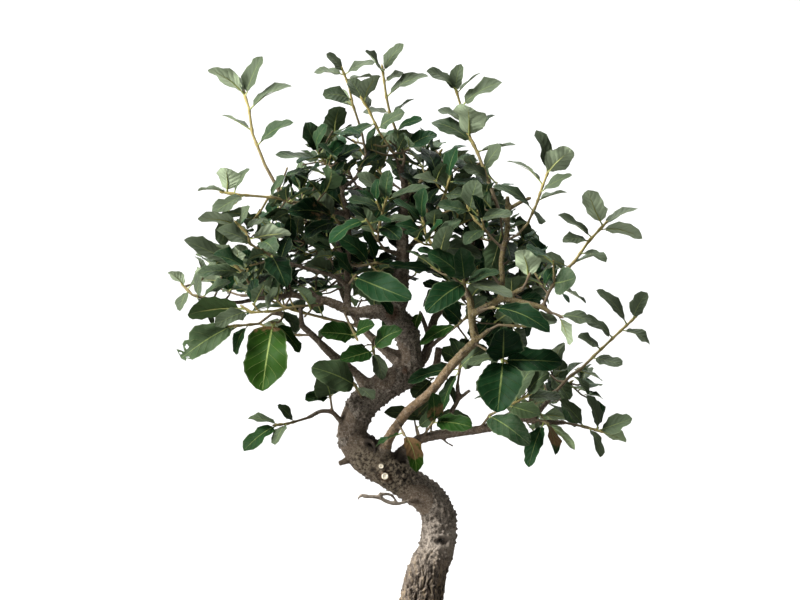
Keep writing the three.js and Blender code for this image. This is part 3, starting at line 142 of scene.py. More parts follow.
SHOOTS: tuple[ShootPlan, ...] = (
    ShootPlan("upper_left", 0,
        ((-91, -2, 418), (-104, -3, 428), (-116, -2, 450), (-126, 2, 475), (-129, 6, 496), (-133, 10, 508)),
        ((0.98, -162, 2, 526, 15, 128), (0.97, -118, 4, 537, 15, 42), (0.95, -143, 18, 525, 8, 60),
         (0.84, -94, 2, 513, 14, 60), (0.66, -151, 8, 490, 14, 80), (0.52, -93, -14, 484, 14, 50))),
    ShootPlan("upper_left_side", 0,
        ((-74, 2, 416), (-86, -12, 419), (-109, -18, 424), (-134, -20, 426), (-149, -20, 428)),
        ((0.98, -148, -28, 448, 19, 155), (0.9, -128, -32, 447, 14, 62), (0.78, -158, -34, 411, 15, 42),
         (0.96, -170, -16, 429, 12, 82), (0.5, -100, -34, 441, 10, 50))),
    ShootPlan("left_middle", 0,
        ((-102, -20, 373), (-120, -26, 382), (-128, -28, 387), (-131, -28, 396), (-138, -28, 403)),
        ((0.98, -170, -36, 407, 14, 125), (0.96, -128, -40, 417, 11, 55), (0.82, -116, -26, 407, 10, 55),
         (0.9, -182, -22, 400, 13, 80), (0.5, -155, -42, 398, 16, 42), (0.62, -95, -38, 395, 15, 130),
         (0.1, -131, -46, 372, 12, 118), (0.02, -99, -52, 352, 19, 18))),
    ShootPlan("left_middle_low", 0,
        ((-122, -14, 343), (-127, -20, 353), (-134, -25, 364), (-142, -28, 372)),
        ((0.98, -181, -44, 390, 17, 40), (0.93, -160, -28, 388, 14, 55), (0.88, -140, -44, 385, 14, 118),
         (0.6, -170, -32, 363, 15, 45))),
    ShootPlan("left_tip", 0, ((-154, -16, 342), (-166, -14, 344), (-174, -11, 346), (-181, -8, 353)),
        ((0.98, -194, -14, 364, 12, 130), (0.86, -155, -24, 372, 12, 60), (0.8, -184, -22, 333, 11, 40),
         (0.35, -168, -32, 362, 11, 40), (0.15, -143, -36, 356, 12, 50), (0.45, -158, -30, 322, 11, 55))),
    ShootPlan("left_low_front", 0,
        ((-66, -8, 341), (-72, -15, 338), (-90, -21, 337), (-110, -27, 333), (-127, -30, 332),
         (-133, -30, 336)),
        ((0.98, -178, -42, 330, 18, 150), (0.93, -156, -48, 321, 15, 35), (0.5, -92, -40, 316, 13, 50),
         (0.7, -106, -40, 352, 11, 55))),
    ShootPlan("left_low_lobe", 0, ((-109, -14, 332), (-121, -18, 323), (-131, -22, 322), (-144, -26, 321)),
        ((0.97, -183, -40, 295, 24, 28), (0.5, -139, -36, 298, 13, 50), (0.8, -160, -22, 303, 13, 60))),
    ShootPlan("left_low_bright", 0, ((-100, -12, 330), (-105, -20, 324), (-110, -27, 324)),
        ((0.97, -118, -44, 269, 34, 14), (0.9, -88, -34, 300, 14, 50))),
    ShootPlan("left_low_inner", 0, ((-54, -6, 336), (-49, -14, 324), (-43, -20, 312)),
        ((0.97, -72, -32, 316, 18, 30), (0.6, -84, -18, 320, 15, 25), (0.94, -28, -34, 322, 14, 45))),
    ShootPlan("trunk_left", 0, ((-37, -6, 262), (-41, -17, 268), (-44, -23, 274)),
        ((0.97, -79, -38, 288, 24, 22), (0.9, -30, -42, 262, 12, 50))),
    ShootPlan("bottom_left", 0, ((-62, -6, 252), (-63, -9, 259), (-64, -12, 266)),
        ((0.97, -71, -24, 285, 23, 15), (0.9, -42, -22, 274, 12, 60), (0.8, -84, -22, 262, 13, 45))),
    ShootPlan("bottom_left_tip", 0, ((-81, -10, 248), (-91, -16, 245), (-98, -22, 243), (-107, -28, 242)),
        ((0.97, -133, -42, 221, 16, 45), (0.95, -130, -30, 247, 11, 60), (0.2, -106, -24, 258, 11, 52),
         (0.6, -108, -44, 226, 12, 50))),
    ShootPlan("top_left", 0, ((-35, 8, 458), (-39, 6, 478), (-46, 4, 499), (-49, 4, 514), (-54, 2, 526)),
        ((0.98, -67, -6, 539, 12, 50), (0.95, -77, 6, 524, 11, 55), (0.95, -28, -2, 532, 12, 55),
         (0.88, -26, 12, 520, 10, 78), (0.6, -70, -8, 506, 15, 35), (0.5, -60, 14, 508, 12, 120))),
    ShootPlan("top_inner", 0,
        ((-9, 4, 450), (-14, -1, 461), (-25, -5, 477), (-33, -8, 494), (-38, -10, 502)),
        ((0.98, -25, -20, 522, 15, 130), (0.96, -48, -22, 519, 14, 30), (0.8, -46, 0, 512, 10, 50),
         (0.6, -52, -18, 472, 13, 50), (0.5, -4, -22, 492, 14, 45))),
    ShootPlan("top_centre", 0,
        ((-7, 6, 444), (-4, 13, 456), (-9, 10, 471), (-16, 7, 491), (-19, 4, 505), (-22, 0, 527)),
        ((0.98, -5, -8, 547, 13, 45), (0.98, -36, -4, 541, 12, 60), (0.88, -5, 2, 524, 9, 50),
         (0.72, 15, -6, 521, 14, 52), (0.56, -38, 10, 492, 12, 60), (0.5, 4, 14, 503, 11, 80),
         (0.35, 10, -6, 486, 12, 55))),
    ShootPlan("top_right", 0,
        ((78, -39, 405), (72, -30, 410), (69, -25, 420), (62, -17, 439), (54, -8, 460), (46, -4, 476),
         (41, 0, 496), (36, 2, 513)),
        ((0.98, 13, -8, 525, 14, 50), (0.97, 41, -12, 531, 11, 30), (0.96, 57, 8, 524, 10, 80),
         (0.86, 74, -10, 516, 16, 48), (0.64, 46, -30, 497, 23, 148), (0.75, 22, -4, 494, 11, 50),
         (0.58, 17, 2, 484, 15, 35), (0.52, 85, -12, 466, 14, 80), (0.38, 73, -28, 466, 15, 45),
         (0.28, 42, -36, 448, 13, 40), (0.66, 68, 6, 490, 11, 60))),
    ShootPlan("right_high", 0,
        ((76, -42, 389), (86, -46, 394), (94, -48, 403), (101, -50, 418), (106, -52, 433), (111, -52, 446)),
        ((0.98, 130, -62, 462, 20, 150), (0.97, 101, -48, 478, 15, 40), (0.8, 77, -46, 453, 13, 78),
         (0.58, 126, -44, 428, 13, 80), (0.42, 66, -62, 433, 12, 50), (0.45, 103, -68, 403, 12, 50),
         (0.7, 130, -64, 442, 13, 55))),
    ShootPlan("right_middle", 0,
        ((106, -60, 336), (111, -60, 348), (118, -58, 360), (131, -52, 372), (143, -46, 389),
         (156, -38, 403)),
        ((0.98, 142, -52, 430, 18, 138), (0.97, 183, -40, 415, 11, 60), (0.92, 186, -34, 391, 14, 125),
         (0.8, 118, -54, 410, 12, 58), (0.74, 122, -66, 388, 11, 42), (0.58, 157, -62, 372, 13, 58),
         (0.45, 152, -40, 378, 12, 80), (0.38, 100, -72, 376, 12, 125), (0.15, 133, -82, 360, 20, 20),
         (0.12, 141, -64, 339, 12, 80))),
    ShootPlan("right_inner", 0, ((90, -58, 351), (93, -62, 356), (95, -66, 361)),
        ((0.97, 88, -76, 382, 20, 145), (0.9, 106, -72, 389, 12, 55))),
    ShootPlan("right_front", 0, ((56, -44, 334), (61, -52, 335), (66, -59, 336)),
        ((0.97, 112, -82, 316, 18, 30), (0.9, 84, -66, 308, 14, 50))),
    ShootPlan("right_end", 0, ((112, -62, 332), (116, -65, 331), (120, -68, 329)),
        ((0.97, 128, -78, 306, 12, 120), (0.9, 146, -74, 324, 13, 45))),
    ShootPlan("far_right", 0,
        ((116, -34, 268), (127, -32, 280), (138, -28, 288), (149, -22, 299), (166, -14, 315),
         (180, -8, 328)),
        ((0.98, 190, -18, 348, 15, 42), (0.9, 149, -24, 350, 15, 50), (0.82, 192, -14, 306, 13, 55),
         (0.7, 138, -30, 328, 14, 52), (0.52, 134, -40, 312, 13, 55), (0.4, 170, -38, 290, 14, 48),
         (0.2, 154, -24, 277, 11, 80), (0.12, 142, -50, 266, 11, 58))),
    ShootPlan("low_right_inner", 0, ((55, -18, 238), (64, -27, 250), (84, -37, 260), (95, -41, 266)),
        ((0.98, 112, -54, 284, 15, 40), (0.94, 121, -50, 264, 14, 52), (0.75, 100, -50, 290, 14, 35),
         (0.6, 104, -60, 250, 15, 30), (0.4, 64, -44, 272, 13, 50), (0.15, 96, -60, 226, 21, 24))),
    ShootPlan("low_right_tip", 0, ((123, -32, 244), (133, -36, 242), (142, -42, 240), (152, -46, 237)),
        ((0.97, 141, -54, 266, 14, 50), (0.98, 178, -56, 247, 16, 40), (0.93, 173, -44, 228, 12, 125),
         (0.6, 152, -62, 216, 12, 50), (0.4, 120, -54, 262, 14, 45))),
    ShootPlan("low_right_hanging", 0, ((99, -28, 245), (103, -36, 246), (109, -43, 244)),
        ((0.8, 95, -54, 208, 15, 38), (0.95, 116, -58, 218, 13, 50), (0.97, 132, -50, 222, 11, 120))),
    ShootPlan("right_centre", 0, ((51, -42, 308), (61, -51, 302), (69, -57, 297), (76, -61, 293)),
        ((0.97, 70, -78, 252, 33, 12), (0.98, 122, -74, 292, 21, 28), (0.95, 75, -78, 320, 29, 15),
         (0.9, 46, -74, 290, 12, 58))),
    ShootPlan("right_thin", 0, ((63, -50, 318), (71, -53, 322), (90, -57, 321)),
        ((0.97, 118, -60, 326, 15, 35), (0.6, 92, -66, 303, 14, 45))),
    ShootPlan("centre_low", 0, ((38, -20, 274), (39, -22, 281), (40, -25, 289)),
        ((0.9, 62, -40, 304, 18, 28), (0.7, -2, -38, 276, 14, 45), (0.5, 26, -42, 252, 12, 50),
         (0.98, 32, -36, 312, 14, 40))),
    ShootPlan("centre_low_front", 0, ((9, -8, 231), (14, -18, 238), (19, -24, 245)),
        ((0.95, 50, -42, 240, 17, 38), (0.97, 18, -36, 268, 15, 30), (0.8, -18, -38, 254, 14, 40))),
    ShootPlan("centre_brown", 0, ((-10, -18, 242), (-7, -26, 239), (-5, -32, 235)),
        ((0.9, -28, -46, 224, 14, 84), (0.97, 5, -46, 204, 15, 30))),
    ShootPlan("centre_upper", 0,
        ((40, -34, 355), (33, -38, 362), (26, -40, 373), (18, -40, 386), (13, -38, 393), (10, -36, 407)),
        ((0.6, 41, -50, 406, 14, 48), (0.5, 58, -58, 376, 17, 40), (0.68, -12, -54, 402, 13, 52),
         (0.98, 12, -44, 432, 14, 48), (0.9, -14, -40, 422, 12, 60))),
    ShootPlan("centre_cluster", 0, ((47, -36, 345), (45, -44, 351), (43, -51, 357)),
        ((0.97, 14, -66, 380, 18, 30), (0.95, 40, -68, 384, 19, 25), (0.85, 72, -60, 364, 13, 55),
         (0.93, 82, -72, 344, 14, 50), (0.8, 13, -70, 332, 21, 25))),
    ShootPlan("centre_left", 0,
        ((-20, -10, 382), (-26, -17, 390), (-24, -23, 404), (-21, -26, 416), (-18, -27, 425)),
        ((0.98, -16, -38, 446, 14, 40), (0.95, 16, -36, 432, 12, 58), (0.7, -50, -36, 422, 13, 52),
         (0.93, -43, -32, 443, 15, 45), (0.5, 2, -38, 406, 12, 55), (0.35, -8, -48, 390, 16, 25))),
    ShootPlan("centre_right", 0,
        ((8, -4, 400), (16, -9, 407), (22, -12, 415), (28, -14, 427), (32, -16, 440)),
        ((0.65, 48, -30, 424, 14, 42), (0.8, 2, -26, 440, 12, 50), (0.94, 58, -26, 434, 13, 52),
         (0.98, 38, -22, 464, 14, 48))),
    ShootPlan("centre_leaf", 0, ((-50, 0, 354), (-47, -10, 357), (-44, -18, 361)),
        ((0.97, 1, -48, 342, 24, 24), (0.7, -14, -34, 330, 15, 42), (0.9, -62, -36, 380, 13, 50))),
    ShootPlan("centre_twig", 0,
        ((-50, 2, 371), (-42, -4, 369), (-35, -6, 370), (-27, -8, 372), (-20, -8, 370)),
        ((0.98, 18, -14, 366, 13, 52), (0.7, -38, -18, 397, 14, 52), (0.45, -58, -24, 392, 15, 30))),
    ShootPlan("left_dark", 0, ((-49, 4, 390), (-54, -4, 399), (-60, -10, 408)),
        ((0.97, -98, -28, 412, 19, 28), (0.93, -82, -24, 430, 17, 25), (0.7, -84, -22, 392, 15, 40))),
    ShootPlan("left_curled", 0, ((-54, 8, 430), (-61, 3, 441), (-68, 0, 452), (-74, -2, 461)),
        ((0.98, -84, -12, 484, 15, 30), (0.95, -66, -16, 482, 13, 58), (0.6, -52, -20, 467, 15, 35),
         (0.9, -46, 2, 482, 11, 80), (0.7, -108, -10, 458, 13, 55))),
    ShootPlan("centre_dark", 0,
        ((75, -44, 382), (67, -42, 390), (60, -41, 398), (52, -40, 406), (47, -40, 415)),
        ((0.95, 22, -48, 418, 13, 40), (0.98, 54, -54, 438, 18, 20), (0.7, 82, -56, 410, 13, 50),
         (0.4, 44, -58, 386, 13, 45))),
    ShootPlan("inner_left", 0, ((-28, -15, 313), (-30, -19, 307), (-29, -23, 300)),
        ((0.9, -56, -34, 294, 16, 30), (0.97, -22, -38, 278, 12, 25), (0.6, -6, -36, 318, 16, 30))),
    ShootPlan("inner_olive", 0, ((28, -8, 314), (37, -13, 321), (45, -17, 328)),
        ((0.6, 26, -30, 338, 16, 25), (0.4, 8, -26, 306, 12, 40), (0.97, 62, -24, 344, 13, 45))),
    ShootPlan("inner_top", 4, ((-5, 6, 420), (3, 14, 430), (13, 18, 444), (24, 18, 460)), ()),
    ShootPlan("inner_top_left", 4, ((-4, 6, 428), (-18, 18, 438), (-32, 24, 452), (-44, 26, 468)), ()),
    ShootPlan("inner_high_left", 4, ((-6, 6, 394), (-24, 18, 400), (-42, 24, 406), (-62, 26, 416)), ()),
    ShootPlan("inner_mid_left", 5, ((-6, 4, 366), (-26, 16, 372), (-52, 24, 378), (-84, 26, 388)), ()),
    ShootPlan("inner_high_right", 4, ((-6, 4, 384), (12, 12, 390), (32, 12, 398), (50, 10, 408)), ()),
    ShootPlan("inner_low_right", 4, ((24, 27, 333), (36, 16, 342), (50, 8, 352), (66, 4, 364)), ()),
    ShootPlan("back_right", 5, ((50, 58, 384), (55, 62, 404), (58, 62, 428)), ()),
    ShootPlan("back_right_middle", 5, ((34, 36, 344), (56, 46, 350), (84, 50, 356), (108, 52, 364)), ()),
    ShootPlan("back_left", 5, ((-58, 66, 362), (-68, 66, 386), (-74, 64, 408)), ()),
    ShootPlan("back_left_middle", 5, ((-38, 46, 320), (-62, 50, 326), (-94, 52, 334), (-122, 50, 346)), ()),
    ShootPlan("back_high", 5, ((14, 54, 414), (20, 58, 434), (24, 56, 458)), ()),
    ShootPlan("back_low_left", 5, ((-78, 50, 314), (-98, 54, 314), (-118, 52, 322)), ()),
    ShootPlan("back_low_right", 5, ((82, 52, 252), (104, 56, 262), (128, 54, 276)), ()),
    ShootPlan("back_upper_left", 5, ((-42, 36, 432), (-54, 42, 454), (-62, 42, 478)), ()),
)

# Where the photograph's eye stood, in millimetres
EYE = Vector((-8.0, -1500.0, 342.0))
FRONT = Vector((0.03, -1.0, 0.05))
UP = Vector((0.0, 0.0, 1.0))
GOLDEN_ANGLE = math.pi * (3 - math.sqrt(5))

# What the solids were made with: the gap at a seat, where leaves start on a twig, how much wider its
# collar is, and the depths that a leaf was tried at
SEAT_GAP = 0.3
FOOT_START = 9.6
COLLAR = 1.25
DEPTH_SWINGS = (0, 7, -7, 14, -14, 21, -21, 28)


class Draws:
    """A repeatable stream of draws between 0 and 1."""

    limit: int = 2147483647
    stride: int = 16807
    seed_stride: int = 48271

    def __init__(self, seed: int) -> None:
        """Starts the stream from a whole number."""
        self.state = (seed * self.seed_stride + 11) % self.limit

    def next(self) -> float:
        """The next draw."""
        self.state = (self.state * self.stride) % self.limit
        return self.state / self.limit

    def between(self, low: float, high: float) -> float:
        """The next draw, spread between two values."""
        return mix(low, high, self.next())


def mix(low: float, high: float, share: float) -> float:
    """The value at a share of the way from low to high."""
    return low + (high - low) * share


def clamp(value: float) -> float:
    """The value, kept between 0 and 1."""
    return min(1.0, max(0.0, value))


def mound(distance: float, size: float, power: int = 2) -> float:
    """A smooth rise: 1 in its middle and near 0 past its size, with a flatter top at a higher power."""
    return math.exp(-((distance / size) ** power))


def place(point: Point) -> Vector:
    """The place of a point that is given in front view.

    Args:
        point: Across, depth and height as the eye sees them in the upright plane through the trunk.

    Returns:
        The point's own place, in millimetres.
    """
    across, depth, height = point[:3]
    scale = (depth - EYE.y) / -EYE.y
    return Vector((mix(EYE.x, across, scale), depth, mix(EYE.z, height, scale)))


def square_to(direction: Vector, vector: Vector) -> Vector:
    """The part of a vector that is square to a unit direction, made a unit vector."""
    return (vector - direction * vector.dot(direction)).normalized()


def leaf_face(direction: Vector, degrees: float) -> Vector:
    """The way that a leaf's upper side looks.

    Args:
        direction: The way from the leaf's foot to its tip.
        degrees: How far the upper side turns from the front towards the sky.

    Returns:
        The way, square to the leaf's direction.
    """
    front = square_to(direction, FRONT)
    above = direction.cross(front)
    if above.z < 0:
        above.negate()
    turn = math.radians(degrees)
    return front * math.cos(turn) + above * math.sin(turn)


def tree_of(points: Sequence[Vector]) -> kdtree.KDTree:
    """A search tree over points, numbered in their order."""
    tree = kdtree.KDTree(len(points))
    for i, point in enumerate(points):
        tree.insert(point, i)
    tree.balance()
    return tree


# Working with Blender's own tools


def deselect() -> None:
    """Leaves nothing selected."""
    bpy.ops.object.select_all(action="DESELECT")


def only(piece: bpy.types.Object) -> bpy.types.Object:
    """Selects one object alone, makes it active and returns it."""
    deselect()
    piece.select_set(True)
    bpy.context.view_layer.objects.active = piece
    return piece


@contextmanager
def editing(piece: bpy.types.Object) -> Iterator[bpy.types.Object]:
    """Holds a mesh object in edit mode."""
    only(piece)
    bpy.ops.object.mode_set(mode="EDIT")
    try:
        yield piece
    finally:
        bpy.ops.object.mode_set(mode="OBJECT")


def show(piece: bpy.types.Object) -> bpy.types.Object:
    """Puts an object in the scene."""
    bpy.context.scene.collection.objects.link(piece)
    return piece


def own_copy(piece: bpy.types.Object) -> bpy.types.Object:
    """A copy of an object, with its own mesh, that isn't in the scene yet."""
    twin = piece.copy()
    twin.data = piece.data.copy()
    return twin


def smooth(piece: bpy.types.Object, degrees: float = 180.0) -> None:
    """Shades an object smooth, but for edges sharper than an angle."""
    only(piece)
    if degrees < 180:
        bpy.ops.object.shade_smooth_by_angle(angle=math.radians(degrees))
    else:
        bpy.ops.object.shade_smooth()


def colour_points(piece: bpy.types.Object, name: str, colours: Iterable[Sequence[float]]) -> None:
    """Gives a mesh a colour for each of its points, in their order."""
    layer = piece.data.color_attributes.new(name, "FLOAT_COLOR", "POINT")
    layer.data.foreach_set("color", np.array(list(colours)).ravel())


def choose(piece: bpy.types.Object, wanted: Callable[[Vector], bool], kind: str = "VERT") -> None:
    """Selects the vertices that pass a test, and nothing else, in edit mode.

    Args:
        piece: The object in edit mode.
        wanted: The test of a vertex's place.
        kind: What the selection is then used as: vertices, edges or faces.
    """
    bpy.ops.mesh.select_mode(type="VERT")
    bpy.ops.mesh.select_all(action="DESELECT")
    work = bmesh.from_edit_mesh(piece.data)
    for vertex in work.verts:
        vertex.select = wanted(vertex.co)
    work.select_flush_mode()
    bmesh.update_edit_mesh(piece.data)
    if kind != "VERT":
        bpy.ops.mesh.select_mode(type=kind)


def finish_modifier(piece: bpy.types.Object, kind: str, **settings: object) -> None:
    """Adds a modifier to an object and applies it.

    Args:
        piece: The mesh object.
        kind: The modifier's type.
        **settings: Its settings.
    """
    only(piece)
    modifier = piece.modifiers.new(kind.lower(), kind)
    for name, value in settings.items():
        setattr(modifier, name, value)
    bpy.ops.object.modifier_apply(modifier=modifier.name)


def settle(piece: bpy.types.Object) -> bpy.types.Object:
    """Puts an object's place, turn and size into its mesh, and returns it."""
    only(piece)
    bpy.ops.object.transform_apply(location=True, rotation=True, scale=True)
    return piece


def add_to_part(piece: bpy.types.Object, name: str, replaced: Sequence[str] = ()) -> None:
    """Names a piece, sets it on the body and reports it.

    Args:
        piece: The finished object.
        name: Its name in the part.
        replaced: The solids that it stands for.
    """
    piece.name = name
    piece.data.name = name
    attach(piece, BODY)
    if replaced:
        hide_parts(*replaced)
    LOG.info("%s: %d faces", name, len(piece.data.polygons))


def copy_of_solid(node: str) -> bpy.types.Object:
    """A loose copy of the solid of a name, with its doubles merged, which may be reshaped."""
    piece = show(bpy.data.objects.new(node + "_copy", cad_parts[node].data.copy()))
    piece.data.materials.clear()
    with editing(piece):
        bpy.ops.mesh.select_all(action="SELECT")
        bpy.ops.mesh.remove_doubles(threshold=2e-6)
        bpy.ops.mesh.customdata_custom_splitnormals_clear()
    return piece


def joined(pieces: Sequence[bpy.types.Object]) -> bpy.types.Object:
    """Joins mesh objects into the first of them, and returns it."""
    deselect()
    for piece in pieces:
        piece.select_set(True)
    bpy.context.view_layer.objects.active = pieces[0]
    bpy.ops.object.join()
    return pieces[0]


# Finishes


class Graph:
    """A material's nodes, added one at a time round its shader."""

    def __init__(self, name: str) -> None:
        """Starts a material of a name with a bare shader."""
        self.material = bpy.data.materials.new(name)
        self.material.use_nodes = True
        self.tree = self.material.node_tree
        self.shader = self.tree.nodes["Principled BSDF"]

    def add(
        self, kind: str, inputs: dict[int | str, object] | None = None, **settings: object
    ) -> bpy.types.Node:
        """Adds a node.

        Args:
            kind: The node's type, without its prefix.
            inputs: What each of its inputs holds: a socket to link, or a value.
            **settings: The node's own settings.

        Returns:
            The new node.
        """
        node = self.tree.nodes.new("ShaderNode" + kind)
        for name, value in settings.items():
            setattr(node, name, value)
        for key, value in (inputs or {}).items():
            self.feed(node.inputs[key], value)
        return node

    def feed(self, target: bpy.types.NodeSocket, value: object) -> None:
        """Links a socket, or sets a value, into an input."""
        if isinstance(value, bpy.types.NodeSocket):
            self.tree.links.new(value, target)
        else:
            target.default_value = value

    def dress(self, **inputs: object) -> bpy.types.Material:
        """Feeds the shader.

        Args:
            **inputs: The shader's inputs, with _ for each space.

        Returns:
            The finished material.
        """
        for key, value in inputs.items():
            if isinstance(value, tuple) and len(value) == 3:
                value = (*value, 1.0)
            self.feed(self.shader.inputs[key.replace("_", " ")], value)
        return self.material

    def place(self, scale: Colour = (1.0, 1.0, 1.0)) -> bpy.types.NodeSocket:
        """The point's own place in the object, stretched by a scale."""
        coordinates = self.add("TexCoord").outputs["Object"]
        return self.add("Mapping", {"Vector": coordinates, "Scale": scale}).outputs[0]

    def noise(
        self, at: bpy.types.NodeSocket, scale: float, detail: float = 4.0, rough: float = 0.6
    ) -> bpy.types.NodeSocket:
        """Cloudy noise from 0 to 1.

        Args:
            at: The point to read.
            scale: Clouds to the metre.
            detail: How many finer layers it has.
            rough: How strong those are.

        Returns:
            The noise.
        """
        inputs = {"Vector": at, "Scale": scale, "Detail": detail, "Roughness": rough}
        return self.add("TexNoise", inputs).outputs[0]

    def math(self, operation: str, *values: object) -> bpy.types.NodeSocket:
        """A sum of one, two or three values."""
        return self.add("Math", dict(enumerate(values)), operation=operation).outputs[0]

    def times(self, first: object, second: object) -> bpy.types.NodeSocket:
        """One value times another."""
        return self.math("MULTIPLY", first, second)

    def line(self, value: object, slope: object, start: object) -> bpy.types.NodeSocket:
        """A straight line: the value times a slope, and a start added."""
        return self.math("MULTIPLY_ADD", value, slope, start)

    def band(self, value: object, low: float, high: float) -> bpy.types.NodeSocket:
        """A smooth step from 0 at low to 1 at high."""
        inputs = {"Value": value, "From Min": low, "From Max": high}
        node = self.add("MapRange", inputs, interpolation_type="SMOOTHSTEP")
        return node.outputs[0]

    def mix(self, share: object, first: object, second: object) -> bpy.types.NodeSocket:
        """Mixes two colours.

        Args:
            share: How much of the second there is.
            first: The first colour, or a socket.
            second: The second colour, or a socket.

        Returns:
            The mixed colour.
        """
        pair = [(*c, 1.0) if isinstance(c, tuple) else c for c in (first, second)]
        return self.add("Mix", {0: share, 6: pair[0], 7: pair[1]}, data_type="RGBA").outputs[2]

    def bump(self, height: object, depth_mm: float, under: object = None) -> bpy.types.NodeSocket:
        """Relief on the surface.

        Args:
            height: The height, from 0 to 1.
            depth_mm: How deep it is, in millimetres.
            under: A coarser relief that this lies on.

        Returns:
            The surface's direction.
        """
        inputs = {"Height": height, "Distance": depth_mm * MM, "Strength": 1.0}
        if under is not None:
            inputs["Normal"] = under
        return self.add("Bump", inputs).outputs[0]

    def attribute(self, name: str) -> bpy.types.NodeSocket:
        """A colour that the mesh carries at each point."""
        return self.add("Attribute", attribute_name=name).outputs["Color"]

    def parts(self, vector: bpy.types.NodeSocket) -> Sequence[bpy.types.NodeSocket]:
        """The three numbers of a vector or colour."""
        return self.add("SeparateXYZ", {0: vector}).outputs


@dataclass(frozen=True)
class LeafFinish:
    """A leaf's skin: dark and half glossy above, felted and pale below, with a pale midrib."""

    name: str
    # deep, middle and sage are the blade from painted shade to painted light
    deep: Colour
    middle: Colour
    sage: Colour
    young: Colour
    dry: Colour
    rib: Colour
    margin: Colour
    rib_share: float
    roughness: float
    raised_veins: float

    def build(self) -> bpy.types.Material:
        """Builds the material from the leaf's own map and its tone."""
        g = Graph(self.name)
        along, across, _ = g.parts(g.add("UVMap", uv_map="leaf").outputs[0])
        out = g.math("ABSOLUTE", g.line(across, 2.0, -1.0))
        width = g.line(along, -0.05, 0.075)
        rib = g.math("SUBTRACT", 1.0, g.band(g.math("DIVIDE", out, width), 0.45, 1.0))
        side = g.band(across, 0.495, 0.505)
        slant = g.line(out, -0.26, g.line(side, 0.07, along))
        saw = g.math("FRACT", g.times(slant, 6.5))
        wave = g.math("ABSOLUTE", g.line(saw, 2.0, -1.0))
        vein = g.times(g.band(wave, 0.9, 0.99), g.band(out, 1.0, 0.6))
        at = g.place()
        cloud = g.noise(at, 140.0, 3.0)
        grain = g.noise(at, 1400.0, 2.0)
        painted_light_and_tone, fresh, dryness = g.parts(g.attribute("tone"))
        speckle = g.noise(at, 620.0, 3.0)
        mottled = g.math("ADD", g.times(cloud, 0.45), g.times(speckle, 0.3))
        # Painted light and shade: the tone's first channel, with the mottling, takes shaded inner leaves to
        # the deep colour and lit outer ones to the sage
        shade = g.math("ADD", g.math("SUBTRACT", mottled, 0.375), painted_light_and_tone)
        colour = g.mix(g.band(shade, 0.0, 0.5), self.deep, self.middle)
        colour = g.mix(g.band(shade, 0.45, 1.0), colour, self.sage)
        colour = g.mix(fresh, colour, self.young)
        traced = g.line(fresh, 0.2, 0.07)
        colour = g.mix(g.times(vein, traced), colour, self.rib)
        colour = g.mix(g.times(g.band(out, 0.9, 0.99), 0.42), colour, self.margin)
        patch = g.band(g.math("ADD", dryness, g.noise(at, 190.0, 4.0)), 0.98, 1.2)
        colour = g.mix(patch, colour, self.dry)
        shown = g.line(fresh, 0.85 - self.rib_share, self.rib_share)
        shown = g.times(shown, g.line(along, -0.4, 1.1))
        colour = g.mix(g.times(rib, shown), colour, self.rib)
        swell = g.line(wave, -0.4 + self.raised_veins, 0.4)
        relief = g.line(vein, -0.5 + self.raised_veins, swell)
        fine = g.bump(grain, mix(0.16, 0.3, self.raised_veins), g.bump(relief, 0.5))
        gloss = g.line(cloud, 0.2, self.roughness - 0.1)
        return g.dress(Base_Color=colour, Roughness=gloss, Normal=fine, Specular_IOR_Level=0.06)


@dataclass(frozen=True)
class StemFinish:
    """A young stem: tan and smooth at its tip, browner and duller towards the wood."""

    name: str
    tip: Colour
    base: Colour

    def build(self) -> bpy.types.Material:
        """Builds the material from the stem's age along its length."""
        g = Graph(self.name)
        at = g.place()
        age, _, _ = g.parts(g.attribute("tone"))
        cloud = g.noise(at, 420.0, 5.0)
        share = g.band(g.math("ADD", age, g.line(cloud, 0.6, -0.3)), 0.1, 0.95)
        colour = g.mix(share, self.tip, self.base)
        spots = g.band(g.noise(at, 1100.0, 2.0), 0.6, 0.72)
        colour = g.mix(g.times(spots, 0.3), colour, (0.32, 0.27, 0.18))
        return g.dress(Base_Color=colour, Roughness=0.72, Normal=g.bump(cloud, 0.35))


